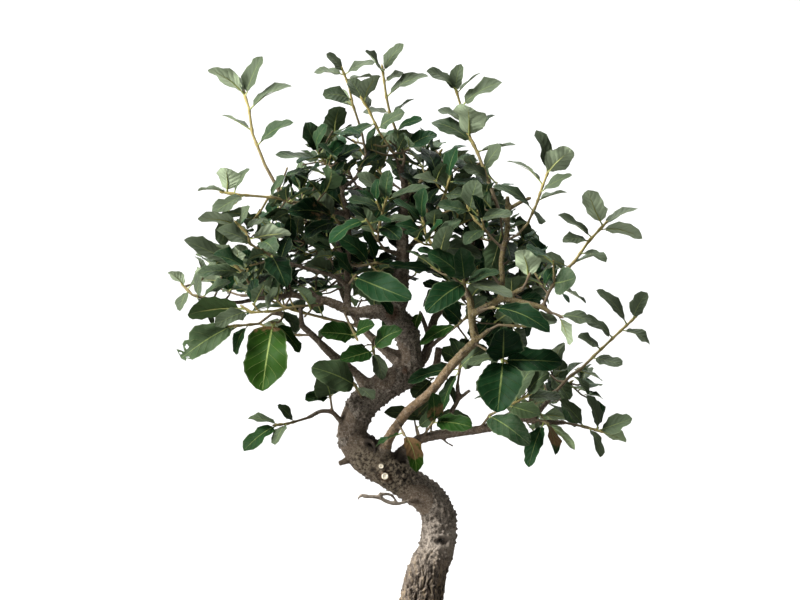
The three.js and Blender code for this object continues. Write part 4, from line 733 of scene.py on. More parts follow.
@dataclass(frozen=True)
class BarkFinish:
    """Bark: smooth and brown on thin limbs, grey and warty on the trunk, cracked at its foot."""

    name: str = "cork_bark"
    thin: Colour = (0.135, 0.1, 0.07)
    warm: Colour = (0.23, 0.152, 0.081)
    olive: Colour = (0.2, 0.158, 0.065)
    grey: Colour = (0.175, 0.147, 0.117)
    pale: Colour = (0.54, 0.465, 0.385)
    bleached: Colour = (0.34, 0.285, 0.22)
    cork: Colour = (0.48, 0.37, 0.235)
    # Dark brown for the warts, and painted shade for the upper trunk
    shade: Colour = (0.07, 0.054, 0.036)
    crust: Colour = (0.27, 0.22, 0.15)
    old: Colour = (0.3, 0.235, 0.18)
    rust: Colour = (0.1, 0.05, 0.025)
    dark: Colour = (0.02, 0.015, 0.011)

    def build(self) -> bpy.types.Material:
        """Builds the material from what the mesh carries: girth, bark height, kind, and the black stubs with
        painted shade, craggy bark and brown stains.
        """
        g = Graph(self.name)
        girth, height, kind = g.parts(g.attribute("bark"))
        black_and_shade, craggy, brown = g.parts(g.attribute("scars_and_shade"))
        at = g.place()
        level = g.parts(at)[2]
        cloud = g.noise(at, 42.0, 4.0, 0.6)
        mottle = g.noise(at, 430.0, 4.0, 0.75)
        grit = g.noise(at, 760.0, 4.0, 0.8)
        fine = g.noise(at, 1900.0, 3.0, 0.7)
        streak = g.noise(g.place((1.0, 1.0, 0.16)), 430.0, 5.0, 0.72)
        foot = g.band(level, 0.156, 0.115)
        colour = g.mix(g.band(girth, 0.2, 0.5), self.thin, self.grey)
        young = g.mix(g.band(level, 0.27, 0.33), self.warm, self.olive)
        colour = g.mix(g.band(kind, 0.2, 0.5), colour, young)
        colour = g.mix(g.band(kind, 0.6, 1.0), colour, self.bleached)
        thick = g.band(girth, 0.12, 0.5)
        worn = g.times(g.band(mottle, 0.47, 0.6), g.line(thick, 0.3, 0.12))
        colour = g.mix(worn, colour, self.pale)
        smooth = g.times(g.band(level, 0.185, 0.16), g.band(cloud, 0.38, 0.56))
        smooth = g.times(smooth, g.math("SUBTRACT", 1.0, foot))
        colour = g.mix(g.times(smooth, 0.7), colour, self.pale)
        colour = g.mix(g.times(foot, 0.6), colour, self.old)
        warts = g.times(g.band(height, 0.56, 0.72), g.math("SUBTRACT", 1.0, foot))
        colour = g.mix(g.times(warts, 0.6), colour, self.shade)
        flecks = g.times(g.band(fine, 0.5, 0.6), g.band(grit, 0.5, 0.6))
        colour = g.mix(g.times(flecks, 0.75), colour, self.pale)
        inner = g.times(foot, g.times(g.band(streak, 0.52, 0.6), 0.75))
        colour = g.mix(inner, colour, self.cork)
        # Painted shade on the trunk above 160 mm, under the crown
        colour = g.mix(g.times(g.band(level, 0.16, 0.22), 0.17), colour, self.shade)
        # The crust of the craggy bark: dark in the hollows and pale on the ridges, partly mottling and
        # partly painted shade and light
        relief = g.line(height, 0.3, g.times(g.math("ADD", grit, mottle), 0.5))
        crust = g.mix(g.band(relief, 0.53, 0.76), self.dark, self.crust)
        colour = g.mix(g.times(craggy, 0.85), colour, crust)
        deep = g.line(thick, 0.75, 0.15)
        upper = g.line(foot, 0.6, 0.3)
        blots = g.times(g.band(mottle, 0.43, 0.34), g.times(deep, upper))
        fewer = g.line(foot, -0.5, g.line(smooth, -0.45, deep))
        pits = g.times(g.band(grit, 0.46, 0.4), g.math("MAXIMUM", fewer, 0.0))
        cracks = g.times(g.band(streak, 0.485, 0.42), foot)
        # Painted shade where the skin is sunk
        low = g.times(g.band(height, 0.28, 0.08), g.times(deep, 0.8))
        dark = g.math("MAXIMUM", g.math("MAXIMUM", pits, blots), g.math("MAXIMUM", low, cracks))
        colour = g.mix(g.times(brown, 0.8), colour, self.rust)
        # Dark specks, cracks and black stubs, with painted shade in sunk bark, in the knot's hollow and at
        # crotches
        colour = g.mix(g.math("MAXIMUM", dark, black_and_shade), colour, self.dark)
        chips = g.times(g.band(black_and_shade, 0.5, 0.9), g.band(fine, 0.6, 0.66))
        colour = g.mix(g.times(chips, g.band(level, 0.16, 0.155)), colour, (0.75, 0.72, 0.66))
        coarse = g.bump(streak, 1.0, g.bump(mottle, 1.6))
        normal = g.bump(fine, 0.5, g.bump(grit, 1.2, coarse))
        return g.dress(Base_Color=colour, Roughness=0.9, Normal=normal, Specular_IOR_Level=0.15)


@dataclass(frozen=True)
class SpeckledFinish:
    """A matt surface of two colours in clouds, with grains of a third and a fine tooth."""

    name: str
    first: Colour
    second: Colour
    grain: Colour
    cloud_scale: float
    grain_scale: float
    grain_share: float
    roughness: float
    tooth_mm: float

    def build(self) -> bpy.types.Material:
        """Builds the material."""
        g = Graph(self.name)
        at = g.place()
        cloud = g.noise(at, self.cloud_scale, 5.0)
        grains = g.noise(at, self.grain_scale, 3.0)
        colour = g.mix(g.band(cloud, 0.3, 0.7), self.first, self.second)
        share = g.times(g.band(grains, 0.56, 0.7), self.grain_share)
        colour = g.mix(share, colour, self.grain)
        rough = g.line(cloud, 0.16, self.roughness - 0.08)
        return g.dress(Base_Color=colour, Roughness=rough, Normal=g.bump(grains, self.tooth_mm))


@dataclass(frozen=True)
class CutWoodFinish:
    """A pruning cut: cream wood in rings."""

    name: str = "cut_wood"

    def build(self) -> bpy.types.Material:
        """Builds the material."""
        g = Graph(self.name)
        at = g.place()
        rings = g.noise(at, 900.0, 2.0)
        colour = g.mix(g.band(rings, 0.35, 0.7), (0.86, 0.8, 0.66), (0.62, 0.52, 0.36))
        return g.dress(Base_Color=colour, Roughness=0.75, Normal=g.bump(rings, 0.2))


class Finish(Enum):
    """The part's finishes, each built once."""

    LEAF_TOP = LeafFinish(
        "leaf_upper_side", (0.0014, 0.0095, 0.0032), (0.0075, 0.032, 0.0105), (0.07, 0.089, 0.053),
        (0.0165, 0.047, 0.004), (0.13, 0.078, 0.035), (0.24, 0.3, 0.09), (0.16, 0.2, 0.1), 0.4, 0.5, 0.0,
    )
    LEAF_UNDER = LeafFinish(
        "leaf_underside", (0.055, 0.09, 0.042), (0.13, 0.175, 0.1), (0.26, 0.31, 0.2),
        (0.1, 0.17, 0.04), (0.2, 0.14, 0.08), (0.4, 0.4, 0.18), (0.08, 0.1, 0.05), 0.5, 0.85, 1.0,
    )
    RIB = SpeckledFinish(
        "leaf_stalk", (0.26, 0.27, 0.07), (0.2, 0.24, 0.06), (0.34, 0.32, 0.13),
        300.0, 1500.0, 0.4, 0.6, 0.1,
    )
    STEM = StemFinish("young_stem", (0.31, 0.25, 0.075), (0.095, 0.066, 0.034))
    BARK = BarkFinish()
    CUT = CutWoodFinish()
    CLAY = SpeckledFinish(
        "unglazed_clay", (0.115, 0.058, 0.037), (0.165, 0.083, 0.053), (0.05, 0.028, 0.02),
        26.0, 2400.0, 0.5, 0.78, 0.18,
    )
    EARTH = SpeckledFinish(
        "damp_earth", (0.028, 0.018, 0.011), (0.06, 0.038, 0.023), (0.12, 0.085, 0.055),
        60.0, 900.0, 0.5, 0.95, 0.9,
    )
    GRIT = SpeckledFinish(
        "soil_grit", (0.085, 0.052, 0.03), (0.17, 0.11, 0.066), (0.05, 0.034, 0.024),
        90.0, 1700.0, 0.5, 0.9, 0.4,
    )
    MOSS = SpeckledFinish(
        "moss", (0.026, 0.052, 0.012), (0.085, 0.125, 0.032), (0.17, 0.19, 0.06),
        90.0, 1500.0, 0.6, 0.92, 1.2,
    )
    NET = SpeckledFinish(
        "drain_net", (0.012, 0.012, 0.013), (0.02, 0.02, 0.02), (0.04, 0.035, 0.03),
        80.0, 1800.0, 0.3, 0.6, 0.1,
    )
    FLOOR = SpeckledFinish(
        "studio_floor", (0.43, 0.43, 0.43), (0.41, 0.41, 0.41), (0.42, 0.42, 0.42),
        2.0, 300.0, 0.1, 0.7, 0.02,
    )

    @property
    def material(self) -> bpy.types.Material:
        """The finish's material, built at its first use."""
        made = bpy.data.materials.get(self.value.name)
        return made or self.value.build()


# Leaves


@dataclass(frozen=True)
class LeafOutline:
    """A blade's outline: how many rows and columns it is cut into, and where it is fullest."""

    rows: int
    columns: int
    fullness: float
    tooth: float
    petiole: float = 0.12
    crowding: float = 0.55

    def place(self, row: int) -> float:
        """How far along the blade a row stands, closer together at both ends."""
        share = row / self.rows
        return mix(share, 0.5 - 0.5 * math.cos(math.pi * share), self.crowding)

    def reach(self, row: int) -> float:
        """How far out a row goes, as a share of half the width, with a tooth at every other row."""
        if row in (0, self.rows):
            return 0.0
        oval = math.sin(math.pi * self.place(row) ** self.fullness) ** 0.5
        return oval * (1 + (self.tooth if row % 2 else -self.tooth))


class LeafForm(Enum):
    """The blades' outlines."""

    BROAD = LeafOutline(18, 6, 0.9, 0.022, 0.06)
    LONG = LeafOutline(11, 4, 0.94, 0.07)
    MIDDLE = LeafOutline(9, 4, 0.98, 0.07)
    SHORT = LeafOutline(8, 4, 1.04, 0.06)


# The torn leaf: where its holes are, and how far along, on which side and to what share it is torn in
LEAF_HOLES = (Vector((0.8, 0.36)), Vector((0.88, -0.2)), Vector((0.93, 0.2)))
LEAF_TEARS = ((0.9, 1, 0.35), (0.965, 1, 1.7), (0.94, -1, 0.45), (0.74, 1, 0.8))


@dataclass
class LeafPattern:
    """A leaf modelled once, flat, in shares: along from 0 to 1, and out from the midrib from -1 to 1."""

    form: LeafForm
    thickness: float = 0.06
    stalk: float = 0.1
    beside: float = 4.0
    dry_edge: float = 3.0
    piece: bpy.types.Object = field(init=False)
    points: np.ndarray = field(init=False)

    def __post_init__(self) -> None:
        """Models the leaf and takes it out of sight."""
        self.piece = joined([self.blade(), self.stalk_and_rib()])
        mesh = self.piece.data
        self.points = np.array([v.co for v in mesh.vertices])
        layer = mesh.uv_layers[0]
        layer.name = "leaf"
        for polygon in mesh.polygons:
            for index in polygon.loop_indices:
                along = self.points[mesh.loops[index].vertex_index][0]
                across = layer.uv[index].vector[1] if polygon.material_index < 2 else 0.5
                layer.uv[index].vector = (along, across)
        mesh.color_attributes.new("tone", "FLOAT_COLOR", "POINT")
        for collection in self.piece.users_collection:
            collection.objects.unlink(self.piece)

    def blade(self) -> bpy.types.Object:
        """The blade: a grid drawn in to the outline, doubled, puffed and closed at its rim.

        Each row moves well beside the grid as it is drawn in, so that none is chosen twice.

        Returns:
            The blade, flat and in shares.
        """
        form = self.form.value
        rows = range(form.rows, -1, -1)
        bpy.ops.mesh.primitive_grid_add(x_subdivisions=form.rows, y_subdivisions=form.columns, size=2)
        piece = bpy.context.object
        with editing(piece):
            for row in rows:
                old = 2 * row / form.rows - 1
                new = mix(form.petiole, 1.0, form.place(row)) + self.beside
                choose(piece, lambda co: abs(co.x - old) < 0.01)
                spread = (1, max(form.reach(row), 1e-4), 1)
                bpy.ops.transform.resize(value=spread, center_override=(old, 0, 0))
                bpy.ops.transform.translate(value=(new - old, 0, 0))
            bpy.ops.mesh.select_all(action="SELECT")
            bpy.ops.transform.translate(value=(-self.beside, 0, self.thickness / 2))
            bpy.ops.mesh.duplicate()
            bpy.ops.mesh.flip_normals()
            bpy.ops.transform.translate(value=(0, 0, -self.thickness))
            for row in rows:
                x = mix(form.petiole, 1.0, form.place(row))
                rim = form.reach(row) - 0.01
                choose(piece, lambda co: abs(co.x - x) < 0.005 and abs(co.y) > rim)
                bpy.ops.transform.resize(value=(1, 1, 0), center_override=(x, 0, 0))
            bpy.ops.mesh.select_all(action="SELECT")
            bpy.ops.mesh.remove_doubles(threshold=1e-3)
        piece.data.materials.append(Finish.LEAF_TOP.material)
        piece.data.materials.append(Finish.LEAF_UNDER.material)
        for polygon in piece.data.polygons:
            polygon.material_index = 0 if polygon.normal.z > 0 else 1
        return piece

    def stalk_and_rib(self) -> bpy.types.Object:
        """The stalk, which runs on under the blade as a tapering rib."""
        bpy.ops.mesh.primitive_circle_add(vertices=4, radius=self.stalk, fill_type="NGON")
        piece = bpy.context.object
        with editing(piece):
            bpy.ops.mesh.select_all(action="SELECT")
            bpy.ops.transform.rotate(value=math.pi / 2, orient_axis="Y", center_override=(0, 0, 0))
            stalk = self.form.value.petiole
            for step, scale, drop in ((stalk, 0.8, -0.04), (0.3, 0.6, -0.02), (0.4, 0.25, 0.05)):
                bpy.ops.mesh.extrude_region_move(TRANSFORM_OT_translate={"value": (step, 0, drop)})
                bpy.ops.transform.resize(value=(1, scale, scale))
            bpy.ops.mesh.select_all(action="SELECT")
            bpy.ops.mesh.normals_make_consistent(inside=False)
        piece.data.materials.append(Finish.RIB.material)
        return piece

    def copy_for(self, leaf: "Leaf") -> bpy.types.Object:
        """A copy of the leaf, with its own mesh, bent to its place.

        Args:
            leaf: The leaf to lay it on.

        Returns:
            The new object.
        """
        piece = own_copy(self.piece)
        points = self.points
        if leaf.is_torn:
            self.pierce(piece)
            points = self.ragged(points)
        piece.data.vertices.foreach_set("co", (leaf.bent(points) * MM).ravel())
        rgba = np.tile((*leaf.tone, 1.0), (len(self.points), 1))
        rgba[:, 2] *= np.clip((leaf.dry_to - self.points[:, 0]) * self.dry_edge + 0.5, 0, 1)
        piece.data.color_attributes["tone"].data.foreach_set("color", rgba.ravel())
        piece.data.update()
        return show(piece)

    @staticmethod
    def pierce(piece: bpy.types.Object) -> None:
        """Tears holes through both sheets of a flat leaf and closes their edges."""
        show(piece)
        for spot in LEAF_HOLES:
            with editing(piece):
                bpy.ops.mesh.select_mode(type="FACE")
                bpy.ops.mesh.select_all(action="DESELECT")
                work = bmesh.from_edit_mesh(piece.data)
                for face in sorted(work.faces, key=lambda f: (f.calc_center_median().xy - spot).length)[:2]:
                    face.select = True
                bmesh.update_edit_mesh(piece.data)
                bpy.ops.mesh.delete(type="FACE")
                bpy.ops.mesh.select_mode(type="EDGE")
                bpy.ops.mesh.select_non_manifold(extend=False)
                bpy.ops.mesh.bridge_edge_loops()
        bpy.context.scene.collection.objects.unlink(piece)

    @staticmethod
    def ragged(points: np.ndarray) -> np.ndarray:
        """Leaf points with a broad end whose rim is torn in."""
        points = points.copy()
        points[:, 1] *= 1 + 1.5 * np.clip(points[:, 0] - 0.72, 0, 1)
        for along, side, share in LEAF_TEARS:
            points[(np.abs(points[:, 0] - along) < 0.022) & (points[:, 1] * side > 0), 1] *= share
        return points


# The width of a broad leaf, and the lengths from which others are long or middling, in millimetres
BROAD_FROM = 20
LONG_FROM = 38
MIDDLE_FROM = 28


@dataclass
class Leaf:
    """One leaf: from its foot on the twig to its tip, with the side that looks up and its bend."""

    foot: Vector
    tip: Vector
    upper: Vector
    width: float
    seed: int
    tone: Colour | None = None
    dry_to: float = 1.1
    # Painted light on a leaf that stands at the front and far along its shoot
    painted_front_light: float = 0.0
    is_torn: bool = False

    def __post_init__(self) -> None:
        """Works out the leaf's length, its three directions and its bend."""
        way = self.tip - self.foot
        self.length = way.length
        self.direction = way.normalized()
        self.side = self.direction.cross(self.upper)
        draws = Draws(self.seed)
        self.arch = draws.between(0.03, 0.13)
        self.fold = draws.between(0.1, 0.34)
        self.wave = draws.between(0.1, 0.26)
        self.sway = draws.between(-0.045, 0.045)
        self.phase = draws.next() * 2 * math.pi

    @property
    def form(self) -> LeafForm:
        """The outline that a leaf of this size has."""
        if self.width >= BROAD_FROM:
            return LeafForm.BROAD
        if self.length > LONG_FROM:
            return LeafForm.LONG
        return LeafForm.MIDDLE if self.length > MIDDLE_FROM else LeafForm.SHORT

    def bent(self, points: np.ndarray) -> np.ndarray:
        """Lays flat leaf points on this leaf.

        Args:
            points: Rows of (along, out, lift), in shares of the length and of half the width.

        Returns:
            Their places, in millimetres.
        """
        along, out, lift = points.T
        half = self.width / 2
        arch = self.length * self.arch * 4 * along * (1 - along)
        crimp = self.wave * np.sin(self.phase + 11 * along + 1.5 * np.sign(out))
        rise = arch + half * np.abs(out) * (self.fold + crimp) + half * lift
        ragged = 1 + 0.07 * np.sin(2.3 * self.phase + 9 * along + 2 * np.sign(out))
        aside = half * out * ragged + self.length * self.sway * 4 * along * (1 - along)
        axes = np.array([self.direction, self.side, self.upper])
        return np.array(self.foot) + np.stack([self.length * along, aside, rise], 1) @ axes

    def samples(self) -> np.ndarray:
        """Points spread over the blade, for keeping leaves apart."""
        rows = np.linspace(0.3, 1.0, max(4, int(self.length / 4)))
        grid = [(a, o * (1.1 - a**3), 0.0) for a in rows for o in (-1, -0.5, 0, 0.5, 1)]
        return self.bent(np.array(grid))


def tube(name: str, runs: Sequence[Sequence[tuple[Vector, float]]], sides: int) -> bpy.types.Object:
    """Round tubes along lines of points, made as curves and turned into a mesh.

    Args:
        name: The object's name.
        runs: Each tube's points and radii, in millimetres.
        sides: How many sides a tube has, which is even.

    Returns:
        The mesh object, in metres.
    """
    curve = bpy.data.curves.new(name, "CURVE")
    curve.dimensions = "3D"
    curve.bevel_depth = MM
    curve.bevel_resolution = sides // 2 - 2
    curve.use_fill_caps = True
    for run in runs:
        spline = curve.splines.new("POLY")
        spline.points.add(len(run) - 1)
        for knot, (point, radius) in zip(spline.points, run):
            knot.co = (*(point * MM), 1.0)
            knot.radius = radius
    only(show(bpy.data.objects.new(name, curve)))
    bpy.ops.object.convert(target="MESH")
    return bpy.context.object


class Line:
    """A shoot's straight pieces, with the length run at each of its points."""

    def __init__(self, path: Wood) -> None:
        """Measures a path that is given in front view."""
        self.points = [place(p) for p in path]
        self.runs = [0.0]
        for before, after in zip(self.points, self.points[1:]):
            self.runs.append(self.runs[-1] + (after - before).length)
        self.length = self.runs[-1]

    def at(self, run: float) -> tuple[Vector, Vector]:
        """The point after a length run, and the direction of the piece it lies on."""
        i = 1
        while i < len(self.points) - 1 and self.runs[i] < run:
            i += 1
        share = (run - self.runs[i - 1]) / (self.runs[i] - self.runs[i - 1])
        before, after = self.points[i - 1], self.points[i]
        return before.lerp(after, share), (after - before).normalized()


class Room:
    """The space that is taken, in small cells, so that added leaves keep clear of what stands there."""

    def __init__(self, cell: float = 2.3) -> None:
        """Starts empty, with cells of a size in millimetres."""
        self.cell = cell
        self.taken: set[tuple[int, int, int]] = set()

    def cells(self, points: np.ndarray) -> set[tuple[int, int, int]]:
        """The cells that points lie in."""
        return set(map(tuple, np.floor(points / self.cell).astype(int).tolist()))

    def take(self, points: np.ndarray) -> None:
        """Marks the cells of points, and their next neighbours, as taken."""
        steps = ((0, 0, 0), (1, 0, 0), (-1, 0, 0), (0, 1, 0), (0, -1, 0), (0, 0, 1), (0, 0, -1))
        for x, y, z in self.cells(points):
            self.taken.update((x + i, y + j, z + k) for i, j, k in steps)

    def is_free(self, points: np.ndarray, allowed: int = 0) -> bool:
        """True where at most a few of the points' cells are taken."""
        return len(self.cells(points) & self.taken) <= allowed


def through(points: Wood, between: int) -> list[tuple[Vector, float]]:
    """A smooth line through points that are given in front view.

    Args:
        points: Each point's across, depth, height and radius.
        between: How many pieces each stretch is cut into.

    Returns:
        The line's places and radii.
    """
    knots = [place(p) for p in points]
    knots = [knots[0] * 2 - knots[1], *knots, knots[-1] * 2 - knots[-2]]
    line = []
    for i in range(1, len(knots) - 2):
        four = knots[i - 1 : i + 3]
        times = [0.0]
        for before, after in zip(four, four[1:]):
            times.append(times[-1] + max((after - before).length, 1e-3) ** 0.5)
        for j in range(between):
            now = mix(times[1], times[2], j / between)
            row = four
            for width in (1, 2, 3):
                pairs = zip(row, row[1:], times, times[width:])
                if width == 3:
                    pairs = zip(row, row[1:], times[1:], times[2:])
                row = [a.lerp(b, (now - s) / (e - s)) for a, b, s, e in pairs]
            line.append((row[0], mix(points[i - 1][3], points[i][3], j / between)))
    line.append((knots[-2], points[-1][3]))
    return line


# Shoots


@dataclass
class SideTwig:
    """A short twig with a rosette of leaves at its tip."""

    start: Vector
    end: Vector
    leaves: list[Leaf] = field(default_factory=list)
    places: int = 7
    spacing: float = 0.12

    def leaf_out(self, draws: Draws, room: Room, outline: "Outline", tries: int = 5) -> bool:
        """Grows its leaves where there is room.

        Args:
            draws: The stream that places them.
            room: The space that is taken.
            outline: The crown's outline, which they stay in.
            tries: How often each leaf is tried.

        Returns:
            True where at least one leaf has grown.
        """
        way = (self.end - self.start).normalized()
        for i in range(self.places):
            foot = self.start.lerp(self.end, 1 - i * self.spacing)
            for _ in range(tries):
                out = square_to(way, Vector((draws.between(-1, 1), draws.between(-1, 1), 0.3)))
                direction = (out + way * draws.between(0.1, 1.3) + UP * 0.15).normalized()
                length = draws.between(17, 36)
                look = Vector((draws.between(-0.45, 0.45), draws.between(-0.6, 0.25), 1.0))
                upper = square_to(direction, way * 0.5 + look)
                width = length * draws.between(0.46, 0.62)
                leaf = Leaf(foot, foot + direction * length, upper, width, int(draws.next() * 1e6) + 7)
                cloud = leaf.samples()
                if outline.holds(leaf) and room.is_free(cloud):
                    room.take(cloud)
                    self.leaves.append(leaf)
                    break
        return bool(self.leaves)

    def knots(self) -> list[tuple[Vector, float]]:
        """The twig's points and radii, with a bud at its tip."""
        middle = self.start.lerp(self.end, 0.5) - UP * (self.end - self.start).length * 0.08
        ahead = (self.end - middle).normalized()
        return [
            (self.start, 1.0), (middle, 0.8), (self.end, 0.7), (self.end + ahead * 1.2, 0.95),
            (self.end + ahead * 2.6, 0.25),
        ]


# In millimetres: how near a leaf's tip is to its solid's, from where a leaf counts as at the crown's top,
# the shortest twig with side twigs, their pitch, and the height under which the front has none
TIP_MATCH = 0.1
CROWN_TOP = 480
SIDE_TWIGS_FROM = 24
SIDE_TWIG_PITCH = 11
LOW_SHOOTS = 336


def full_marks(marks: Point) -> Point:
    """A leaf's marks with the last two filled in, which are 0 and 1.1 on a leaf that isn't dry."""
    return marks if len(marks) == 4 else (*marks, 0.0, 1.1)


@dataclass
class Shoot:
    """One leafy shoot: its twig, the leaves that its solid has, and more that follow by rule."""

    plan: ShootPlan
    number: int
    leaves: list[Leaf] = field(default_factory=list)
    side_twigs: list[SideTwig] = field(default_factory=list)

    def __post_init__(self) -> None:
        """Measures the twig and finds the leaves of its solid."""
        self.line = Line(self.plan.path)
        self.thick = min(max(1.25, self.line.length / 55), 1.9)
        self.node = "spray_" + self.plan.name
        self.solid = tree_of([v.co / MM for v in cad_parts[self.node].data.vertices])
        near = self.solid.find(self.line.points[0])[2]
        self.start = math.sqrt(max(near**2 - self.thick**2, 4.0))
        self.leaves = [leaf for leaf in self.solid_leaves() if leaf]
        for leaf in self.leaves:
            key = (self.plan.name, leaf.seed % 100)
            leaf.is_torn = key == TORN_LEAF
            if key in LEAF_MARKS:
                *tone, leaf.dry_to = full_marks(LEAF_MARKS[key])
                leaf.tone = tuple(tone)

    def solid_leaves(self) -> Iterator[Leaf | None]:
        """The leaves that the solid has room for: of each one's places, the one whose tip it holds."""
        for i, entry in enumerate(self.plan.leaves):
            seed = 100 * (self.number + 1) + i
            yield self.held(self.given_leaf(entry, swing, seed) for swing in DEPTH_SWINGS)
        for i in range(self.plan.more):
            seed = 100 * (self.number + 1) + 50 + i
            yield self.held(self.ruled_leaf(i, self.plan.more, seed + 7000 * turn) for turn in range(4))

    def held(self, candidates: Iterable[Leaf]) -> Leaf | None:
        """The first leaf whose tip is a corner of the solid, if any is."""
        return next((leaf for leaf in candidates if self.solid.find(leaf.tip)[2] < TIP_MATCH), None)

    def given_leaf(self, entry: Point, swing: float, seed: int) -> Leaf:
        """A leaf of the plan.

        Args:
            entry: The plan's numbers for it.
            swing: How far it swings back from its own depth.
            seed: The seed of its bend.

        Returns:
            The leaf.
        """
        along, across, depth, height, width, degrees = entry
        foot, _ = self.line.at(mix(FOOT_START, self.line.length - 1.2, along))
        tip = place((across, depth + swing, height))
        upper = leaf_face((tip - foot).normalized(), degrees)
        # Painted light: leaves at the front and far along the shoot are paler
        painted_front_light = (0.6 if depth < -22 else 0.32) * along
        broader = 1.14 if height > CROWN_TOP else 1.05
        return Leaf(foot, tip, upper, width * broader, seed, painted_front_light=painted_front_light)

    def ruled_leaf(self, index: int, count: int, seed: int) -> Leaf:
        """A leaf that follows by rule, round the shoot by the golden angle and out and up from it.

        Args:
            index: Which leaf it is.
            count: How many follow.
            seed: The seed of its draws.

        Returns:
            The leaf.
        """
        draws = Draws(seed)
        point, forward = self.line.at(mix(FOOT_START, self.line.length - 2, (index + 0.5) / count))
        out = square_to(forward, Vector((0.2, 1.0, 0.1)))
        across = forward.cross(out)
        angle = index * GOLDEN_ANGLE + draws.next() * 2
        radial = out * math.cos(angle) + across * math.sin(angle)
        lean = draws.between(0.3, 0.9)
        direction = (radial + forward * lean + UP * 0.25).normalized()
        length = draws.between(24, 38)
        width = length * draws.between(0.46, 0.6)
        upper = square_to(direction, forward * 0.6 + Vector((0.0, -0.1, 1.0)))
        return Leaf(point, point + direction * length, upper, width, seed)

    def add_side_growth(self, room: Room, outline: "Outline") -> None:
        """Adds short side twigs and the leaves that the solid leaves out, where there is room."""
        draws = Draws(9000 + self.number)
        stretch = self.line.length - self.start
        tip = self.line.points[-1]
        if stretch < SIDE_TWIGS_FROM or (tip.z < LOW_SHOOTS and (tip.y < 0 or tip.x > 60)):
            return
        count = int(stretch / SIDE_TWIG_PITCH)
        for i in range(count):
            point, forward = self.line.at(self.start + stretch * (i + 0.6) / (count + 1))
            angle = i * GOLDEN_ANGLE + draws.next() * 2
            out = square_to(forward, Vector((0.1, 1.0, 0.3)))
            radial = out * math.cos(angle) + forward.cross(out) * math.sin(angle)
            way = (radial + forward * draws.between(0.3, 0.8) + UP * 0.2).normalized()
            side = SideTwig(point, point + way * draws.between(10, 24))
            if side.leaf_out(draws, room, outline):
                self.side_twigs.append(side)

    @property
    def all_leaves(self) -> list[Leaf]:
        """The twig's own leaves and those of its side twigs."""
        return self.leaves + [leaf for side in self.side_twigs for leaf in side.leaves]

    def twig(self) -> bpy.types.Object:
        """The twig and its side twigs, swollen where leaves stand and closed by a bud."""
        length = self.line.length
        feet = [(leaf.foot, 0.4) for leaf in self.leaves]
        runs = sorted({self.start - 1.6, *[r for r in self.line.runs if r > self.start], length})
        fine = []
        for before, after in zip(runs, runs[1:]):
            steps = max(1, int((after - before) / 3))
            fine += [mix(before, after, i / steps) for i in range(steps)]
        fine.append(length)
        main = []
        for run in fine:
            point = self.line.at(run)[0]
            swell = max((s for foot, s in feet if (foot - point).length < 1.6), default=0.0)
            main.append((point, mix(self.thick * 0.8, 0.9, run / length) + swell))
        ahead = self.line.at(length)[1]
        main += [(main[-1][0] + ahead * s, r) for s, r in ((1.2, 1.15), (2.6, 0.8), (3.8, 0.25))]
        piece = tube(self.node + "_twig", [main, *[side.knots() for side in self.side_twigs]], 8)
        foot, span = self.line.points[0], max(length, 60.0)
        ages = [max(0.0, 1 - (vertex.co / MM - foot).length / span) for vertex in piece.data.vertices]
        colour_points(piece, "tone", [(age, 0.0, 0.0, 1.0) for age in ages])
        piece.data.materials.append(Finish.STEM.material)
        return piece


# What sets single leaves apart, by shoot and number: brightness, partly painted light and shade, and
# freshness, and on a dry leaf its dryness and how far along it is dry
LEAF_MARKS: dict[tuple[str, int], Point] = {
    ("left_low_bright", 0): (0.3, 0.95, 0.7, 0.24), ("left_low_bright", 1): (0.3, 0.5),
    ("left_low_lobe", 0): (0.85, 0.4, 0.3, 1.1), ("left_low_lobe", 1): (0.5, 0.25),
    ("left_middle", 5): (1.5, 0.0), ("left_low_front", 0): (0.0, 0.3), ("right_centre", 1): (0.25, 0.05),
    ("low_right_hanging", 0): (0.45, 0.15), ("centre_cluster", 4): (0.3, 0.08),
    ("right_front", 0): (0.25, 0.05), ("left_low_inner", 0): (0.3, 0.6), ("left_low_inner", 2): (0.3, 0.5),
    ("trunk_left", 0): (0.85, 0.4), ("bottom_left", 0): (0.9, 0.4, 0.3, 1.1),
    ("bottom_left_tip", 0): (0.3, 0.3), ("right_centre", 0): (0.3, 0.1), ("right_centre", 2): (0.12, 0.05),
    ("centre_low", 1): (0.25, 0.15), ("centre_low_front", 0): (0.45, 0.65),
    ("centre_low_front", 1): (0.4, 0.5, 0.6, 0.8), ("centre_brown", 0): (0.3, 0.3),
    ("centre_brown", 1): (0.7, 1.1, 0.72, 0.8), ("inner_left", 0): (0.4, 0.5),
    ("inner_left", 2): (0.3, 0.5), ("inner_olive", 1): (0.4, 0.6),
    ("low_right_hanging", 1): (0.5, 0.2, 0.8, 0.9), ("low_right_inner", 5): (0.65, 0.1),
    ("left_dark", 0): (0.1, 0.05, 0.52, 0.7), ("right_middle", 2): (1.15, 0.0),
    ("centre_cluster", 3): (1.1, 0.0),
}

TORN_LEAF = ("left_low_lobe", 0)

